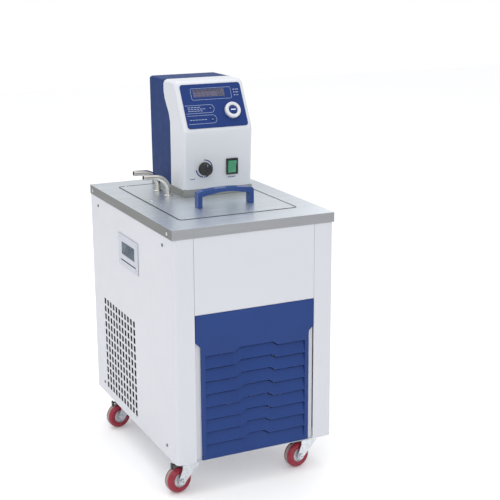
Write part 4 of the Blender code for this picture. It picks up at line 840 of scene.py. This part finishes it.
def build_castor(corner):
    plate, fork = f"castor_{corner}_plate", f"castor_{corner}_fork"
    refined(plate, "zinc", 0.0005, 2, 25)
    refined(fork, "zinc", 0.0005, 2, 25)
    guard = standing(flat("guard", [[
        (0.0196, 0.0540), (0.0328, 0.0540), (0.0336, 0.0480), (0.0360, 0.0480), (0.0363, 0.0588),
        (0.0340, 0.0598), (0.0316, 0.0562), (0.0196, 0.0560)]], -0.005, 0), -0.0025)
    guard.transform(swivel_frame(corner))
    go_with(softened(f"castor_{corner}_guard", guard, "black", 0.0004, 2), fork)
    hub_frame = joint_frame(f"castor_{corner}_roll")
    half = 0.0105
    wheel = f"castor_{corner}_wheel"
    tyre = turned_mesh("tyre", eased(mirrored([
        (0.0128, half - 0.0030), (0.0134, half - 0.0006), (0.0212, half - 0.0002), (0.0245, half - 0.0042),
        (0.0249, 0.0036)]), 0.0012, 4), 72, closed=True)
    stand_for(shaded(f"castor_{corner}_tyre", moved(tyre, hub_frame), "tread", 40), wheel)
    band = turned_mesh("band", [(0.0244, 0.0034), (0.0250, 0.0031), (0.0250, -0.0031), (0.0244, -0.0034)],
                       72, closed=True)
    go_with(shaded(f"castor_{corner}_tread_band", moved(band, hub_frame), "band", 40), wheel)
    core = turned_mesh("core", eased(mirrored([
        (0.0034, half + 0.0011), (0.0070, half + 0.0011), (0.0078, half - 0.0026), (0.0112, half - 0.0030),
        (0.0122, half - 0.0002), (0.0132, half - 0.0008)]), 0.0005, 3), 72, closed=True)
    go_with(shaded(f"castor_{corner}_wheel_core", moved(core, hub_frame), "hub", 40), wheel)
    reach = 0.0152
    shank = turned_mesh("shank", [(0, reach + 0.0030), (0.0022, reach + 0.0030), (0.0030, reach + 0.0022),
                                  (0.0030, -reach), (0, -reach)], 32)
    metal = [shank]
    for side in (1, -1):
        hexagon = flat("hexagon", [arc((0, 0), 0.0050, 0, 300, 5)], 0, 0.0024)
        washer = turned_mesh("washer", [(0.0031, 0), (0.0054, 0), (0.0054, 0.0006), (0.0031, 0.0006)],
                             32, closed=True)
        for mesh, lift in ((washer, 0), (hexagon, 0.0006)):
            place = Matrix.Translation((0, 0, side * (reach + lift)))
            metal.append(moved(mesh, place @ Matrix.Diagonal((1, 1, side, 1))))
    bolt = moved(joined("bolt", metal), hub_frame)
    stand_for(softened(f"castor_{corner}_bolt", bolt, "zinc", 0.0002, 2, 30), f"castor_{corner}_axle")


# ---- control head
PANEL_LEAN = math.radians(28)
PANEL = Matrix.Translation((0.0345, 0.0306, 0.6763)) @ Matrix.Rotation(math.pi / 2 - PANEL_LEAN, 4, "X")
FILM_FRONT = AIR + 0.0008
DIAL = (0.0350, -0.0135)
KEYS = {"upper": (-0.0098, -0.0057), "lower": (-0.0094, -0.0281)}
DISPLAY = ((-0.0388, 0.0180), (0.0270, 0.0342))
PRINT = 0.00006


def on_panel(name, mesh, paint):
    return shaded(name, moved(mesh, PANEL), paint, 35)


def ring_outline(low, high, radius, width):
    """Outer and inner outline of a thin printed frame."""
    inner_low, inner_high = (low[0] + width, low[1] + width), (high[0] - width, high[1] - width)
    return [round_rectangle(low, high, radius), round_rectangle(inner_low, inner_high, radius - width)]


def printed(outlines, front=FILM_FRONT):
    """A printed mark: a very thin solid that stands on the film."""
    return flat("mark", outlines, front - 0.00002, front + PRINT)


def pill(low, high, line=0.00055):
    """A thin frame, round at its right end, that runs off the film's left side."""
    radius = (high[1] - low[1]) / 2
    centre = (high[0] - radius, low[1] + radius)
    outer = arc(centre, radius, 90, -90, 24)
    inner = arc(centre, radius - line, -90, 90, 24)
    return [(low[0], high[1])] + outer + [(low[0], low[1]), (low[0], low[1] + line)] + inner \
        + [(low[0], high[1] - line)]


def dashes(left, right, bottom, height, gap, count):
    """A row of equal bars, standing for a line of small lettering."""
    width = (right - left - gap * (count - 1)) / count
    starts = [left + i * (width + gap) for i in range(count)]
    return [rectangle((start, bottom), (start + width, bottom + height)) for start in starts]


def build_panel_film():
    outline = round_rectangle((-0.0635, -0.045), (0.0635, 0.045), 0.006, 10)
    holes = [rectangle(*DISPLAY), arc(DIAL, 0.0064, 0, 352, 44)]
    holes += [arc(place, 0.0034, 0, 345, 23) for place in KEYS.values()]
    film = flat("film", [outline] + holes, AIR, FILM_FRONT)
    stand_for(softened("membrane_film", moved(film, PANEL), "film", 0.00025, 2, 50), "membrane_panel")
    marks = [printed(ring_outline((-0.0435, 0.0125), (0.0410, 0.0363), 0.0030, 0.0005))]
    for low, high in (((-0.0610, -0.0145), (-0.0010, 0.0023)), ((-0.0600, -0.0360), (0.0, -0.0187))):
        marks.append(printed([pill(low, high)]))
    go_with(on_panel("panel_frames", joined("frames", marks), "print"), "membrane_panel")
    lines = []
    for bottom, right, count in ((-0.0025, -0.030, 4), (-0.0063, -0.020, 6), (-0.0101, -0.026, 5),
                                 (-0.0281, -0.021, 6)):
        lines += [printed([bar]) for bar in dashes(-0.056, right, bottom, 0.0009, 0.0014, count)]
    go_with(on_panel("panel_labels", joined("labels", lines), "print"), "membrane_panel")
    lamps = []
    for number, height in enumerate((0.0302, 0.0244, 0.0186)):
        lamp = turned_mesh("lamp", eased([(0, 0.0007), (0.0009, 0.0006), (0.0013, -0.0001), (0, -0.0001)],
                                         0.0003), 24)
        lamps.append(moved(lamp, Matrix.Translation((0.0475, height, FILM_FRONT))))
        marks = dashes(0.0505, 0.0575 - 0.0010 * number, height - 0.0007, 0.0014, 0.0006, 3)
        lamps += [printed([bar]) for bar in marks]
    go_with(on_panel("panel_lamps", joined("lamps", lamps), "print"), "membrane_panel")


def build_display():
    (left, low), (right, high) = DISPLAY
    glass = box_mesh("glass", ((left + AIR, low + AIR, -0.0043), (right - AIR, high - AIR, 0.0002)))
    module = box_mesh("module", ((left - 0.004, low - 0.003, -0.0100),
                                 (right + 0.004, high + 0.003, -0.0035)))
    for mesh in (glass, module):
        mesh.transform(PANEL)
    stand_for(softened("display_window", glass, "window", 0.0003), "display_module")
    go_with(softened("display_case", module, "black", 0.0004), "display_module")
    marks, front = [], 0.00021
    marks += dashes(left + 0.004, right - 0.006, high - 0.0042, 0.0020, 0.0018, 7)
    for row in range(3):
        marks += dashes(right - 0.0150, right - 0.0030, low + 0.0022 + row * 0.0032, 0.0014, 0.0012, 3)
    for number in range(4):
        start = left + 0.006 + number * 0.0088
        for height in (low + 0.0020, low + 0.0060, low + 0.0098):
            marks.append(rectangle((start, height), (start + 0.0050, height + 0.0008)))
    mesh = joined("segments", [printed([bar], front) for bar in marks])
    go_with(on_panel("display_segments", mesh, "segments"), "display_module")


def build_keys_and_dial():
    for word, (x, y) in KEYS.items():
        cap = turned_mesh("cap", eased([
            (0, 0.0022), (0.0022, 0.0022), (0.0030, 0.0015), (0.0030, -0.0034), (0.0046, -0.0034),
            (0.0046, -0.0048), (0, -0.0048)], 0.0004), 48)
        cap.transform(PANEL @ Matrix.Translation((x, y, 0)))
        stand_for(shaded(f"key_{word}_cap", cap, "navy", 40), f"key_{word}")
        # Painted highlight: a small white bar on top of each key cap stands for the glint on the glossy
        # key.
        bar = rectangle((x - 0.0016, y - 0.0003), (x + 0.0016, y + 0.0003))
        mark = flat("mark", [bar], 0.0021, 0.00226)
        go_with(on_panel(f"key_{word}_mark", mark, "bright"), f"key_{word}")
    place = PANEL @ Matrix.Translation((*DIAL, 0))
    ring = turned_mesh("ring", eased([
        (0.0102, 0.0090), (0.0146, 0.0090), (0.0157, 0.0082), (0.0160, 0.0070), (0.0160, 0.0017),
        (0.0058, 0.0017), (0.0058, -0.0060), (0.0040, -0.0060), (0.0040, 0.0032), (0.0092, 0.0032),
        (0.0092, 0.0080), (0.0102, 0.0090)], 0.0008, 4)[1:], 96, closed=True)
    stand_for(shaded("jog_ring_body", moved(ring, place), "cover", 50), "jog_ring")
    cap = turned_mesh("cap", eased([
        (0, 0.0086), (0.0050, 0.0085), (0.0080, 0.0080), (0.0088, 0.0070), (0.0088, 0.0046),
        (0.0036, 0.0046), (0.0036, -0.0070), (0, -0.0070)], 0.0007, 4), 72)
    stand_for(shaded("jog_button_cap", moved(cap, place), "film", 50), "jog_button")
    bar = flat("bar", [round_rectangle((-0.0052, -0.0010), (0.0052, 0.0010), 0.0009)], 0.0082, 0.00875)
    go_with(shaded("jog_button_mark", moved(bar, place), "bright", 35), "jog_button")


FACE_LOW, FACE_HIGH = Vector((0, 0.0145, 0.518)), Vector((0, 0.0098, 0.606))


def on_face(height):
    """A frame on the cover's lower face at a height: X right, Y up the face, Z out."""
    share = (height - FACE_LOW.z) / (FACE_HIGH.z - FACE_LOW.z)
    point = FACE_LOW.lerp(FACE_HIGH, share)
    up = (FACE_HIGH - FACE_LOW).normalized()
    across = Vector((1, 0, 0))
    turn = Matrix((across, up, across.cross(up))).transposed().to_4x4()
    return Matrix.Translation(point) @ turn


def arc_mark(centre, radius, start, end, width):
    """A curved stroke about a centre."""
    count = max(4, round(abs(end - start) / 5))
    return arc(centre, radius + width / 2, start, end, count) \
        + arc(centre, radius - width / 2, end, start, count)


KNOB_X, KNOB_Z = 0.0045, 0.558
SWITCH_X, SWITCH_Z = 0.0625, 0.5585


def build_face_print():
    place = on_face(KNOB_Z)
    centre, marks = (KNOB_X, 0), []
    for start, end in ((84, 6), (262, 186), (300, 277)):
        marks.append([arc_mark(centre, 0.0168, start, end, 0.0023)])
    tick = rectangle((0.0155, -0.0008), (0.0185, 0.0008))
    for angle in (90, 0, 270):
        cos, sin = math.cos(math.radians(angle)), math.sin(math.radians(angle))
        marks.append([[(KNOB_X + x * cos - y * sin, x * sin + y * cos) for x, y in tick]])
    marks += [[bar] for bar in dashes(-0.0250, -0.0150, -0.0200, 0.0018, 0.0010, 3)]
    below = (SWITCH_Z - KNOB_Z) - 0.0225
    marks += [[bar] for bar in dashes(SWITCH_X - 0.0075, SWITCH_X + 0.0075, below, 0.0020, 0.0012, 4)]
    mesh = joined("marks", [flat("mark", outlines, -0.00002, 0.00008) for outlines in marks])
    go_with(shaded("face_print", moved(mesh, place), "ink", 35), "front_cover")


def fluted_mesh(name, rows, flutes, depth, steps=120):
    """A turned grip whose side is scalloped; rows are (radius, height, share of the scallop)."""
    bm = bmesh.new()
    loops = []
    for radius, height, share in rows:
        loop = []
        for k in range(steps):
            angle = 2 * math.pi * k / steps
            scallop = (0.5 + 0.5 * math.cos(flutes * angle)) ** 2
            size = radius - depth * share * scallop
            loop.append(bm.verts.new((size * math.cos(angle), size * math.sin(angle), height)))
        loops.append(loop)
    skin(bm, loops, capped=True)
    return mesh_from(bm, name)


def build_knob():
    """Fluted knob with its shaft, and a pointer line."""
    low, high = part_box("speed_knob")
    skirt = low.y + 0.0156
    place = Matrix.Translation((KNOB_X, skirt, KNOB_Z)) @ Matrix.Rotation(math.pi / 2, 4, "X")
    rows = [(0.0030, high.y * -1 + skirt, 0), (0.0030, 0, 0), (0.0130, 0, 0), (0.0132, 0.0006, 0),
            (0.0128, 0.0016, 0.2), (0.0125, 0.0024, 1), (0.0116, 0.0132, 1), (0.0110, 0.0145, 0.6),
            (0.0098, 0.0150, 0), (0.0088, 0.0149, 0), (0.0082, 0.0144, 0)]
    knob = fluted_mesh("knob", rows, 20, 0.0011)
    stand_for(shaded("speed_knob_body", moved(knob, place), "black", 40), "speed_knob")
    line = box_mesh("line", ((-0.0004, 0.0060, 0.0142), (0.0004, 0.0105, 0.0153)))
    go_with(softened("speed_knob_pointer", moved(line, place), "print", 0.0002), "speed_knob")


def build_head():
    refined("head_plinth", "plinth", 0.0004)
    refined("front_cover", "cover", 0.0006, 2, 25)
    refined("rear_shell", "navy", 0.0006, 2, 25)
    refined("switch_body", "black", 0.0005, 3)
    refined("switch_rocker", "green", 0.0005, 3, 25)
    refined("control_board", "board", 0.0002, 1)
    build_panel_film()
    build_display()
    build_keys_and_dial()
    build_face_print()
    build_knob()


# ---- camera, light and floor
def studio_world():
    """White to the camera; as a light, a sky that is bright overhead and dim at the horizon."""
    world = bpy.data.worlds.new("studio")
    world.use_nodes = True
    nodes, links = world.node_tree.nodes, world.node_tree.links
    sky, seen = nodes["Background"], nodes.new("ShaderNodeBackground")
    height = nodes.new("ShaderNodeSeparateXYZ")
    share = nodes.new("ShaderNodeMapRange")
    share.inputs["From Min"].default_value = -1.0
    ramp = nodes.new("ShaderNodeValToRGB")
    stops = ((0.0, 0.70), (0.5, 0.36), (0.58, 0.50), (0.70, 0.80), (1.0, 1.0))
    for number, (place, grey) in enumerate(stops):
        stop = ramp.color_ramp.elements[0] if number == 0 else ramp.color_ramp.elements.new(place)
        stop.position, stop.color = place, (grey * 0.985, grey * 0.99, grey, 1)
    ramp.color_ramp.elements.remove(ramp.color_ramp.elements[-1])
    sky.inputs["Strength"].default_value = 1.1
    seen.inputs["Color"].default_value = (1, 1, 1, 1)
    mix = nodes.new("ShaderNodeMixShader")
    links.new(nodes.new("ShaderNodeTexCoord").outputs["Generated"], height.inputs[0])
    links.new(height.outputs["Z"], share.inputs["Value"])
    links.new(share.outputs["Result"], ramp.inputs["Fac"])
    links.new(ramp.outputs["Color"], sky.inputs["Color"])
    links.new(nodes.new("ShaderNodeLightPath").outputs["Is Camera Ray"], mix.inputs[0])
    links.new(sky.outputs["Background"], mix.inputs[1])
    links.new(seen.outputs["Background"], mix.inputs[2])
    links.new(mix.outputs["Shader"], nodes["World Output"].inputs["Surface"])
    return world


def build_view():
    scene = bpy.context.scene
    lens = bpy.data.cameras.new("camera")
    lens.lens, lens.sensor_width = 81.37, 36
    camera = bpy.data.objects.new("camera", lens)
    scene.collection.objects.link(camera)
    camera.matrix_world = (Matrix.Translation((-0.84565, -1.96738, 0.96318))
                           @ Matrix.Rotation(math.radians(-25.567), 4, "Z")
                           @ Matrix.Rotation(math.radians(90 - 14.789), 4, "X")
                           @ Matrix.Rotation(math.radians(-0.298), 4, "Z"))
    scene.camera = camera
    scene.world = studio_world()
    scene.view_settings.view_transform = "Standard"

    floor = link("floor", box_mesh("floor", ((-6, -6, -0.02), (6, 6, -0.0005))))
    floor_paint = Paint("studio_floor", (0.93, 0.93, 0.94), 0.8).tint(0.6, 0.005)
    floor_paint.set({"Emission Color": (1, 1, 1, 1), "Emission Strength": 0.10})
    floor.data.materials.append(floor_paint.material)

    lights = {"key": ((-0.9, -2.6, 1.9), 2.0, 13), "left": ((-2.9, -0.6, 1.4), 1.6, 4),
              "top": ((-0.2, 0.2, 3.2), 3.0, 30), "right": ((1.9, 1.9, 1.5), 1.0, 4)}
    for name, (place, size, power) in lights.items():
        area = bpy.data.lights.new(name, "AREA")
        area.shape, area.size, area.energy = "SQUARE", size, power
        lamp = bpy.data.objects.new(name, area)
        scene.collection.objects.link(lamp)
        lamp.location = place
        aim = Vector((0, 0, 0.35)) - Vector(place)
        lamp.rotation_euler = aim.to_track_quat("-Z", "Y").to_euler()


# ---- assembly
build_cabinet()
build_front_grille()
build_deck_and_covers()
build_handle()
build_tubes()
build_bath_fittings()
build_cooling_unit()
for castor in ("front_left", "front_right", "back_left", "back_right"):
    build_castor(castor)
build_head()
build_fasteners()
build_view()
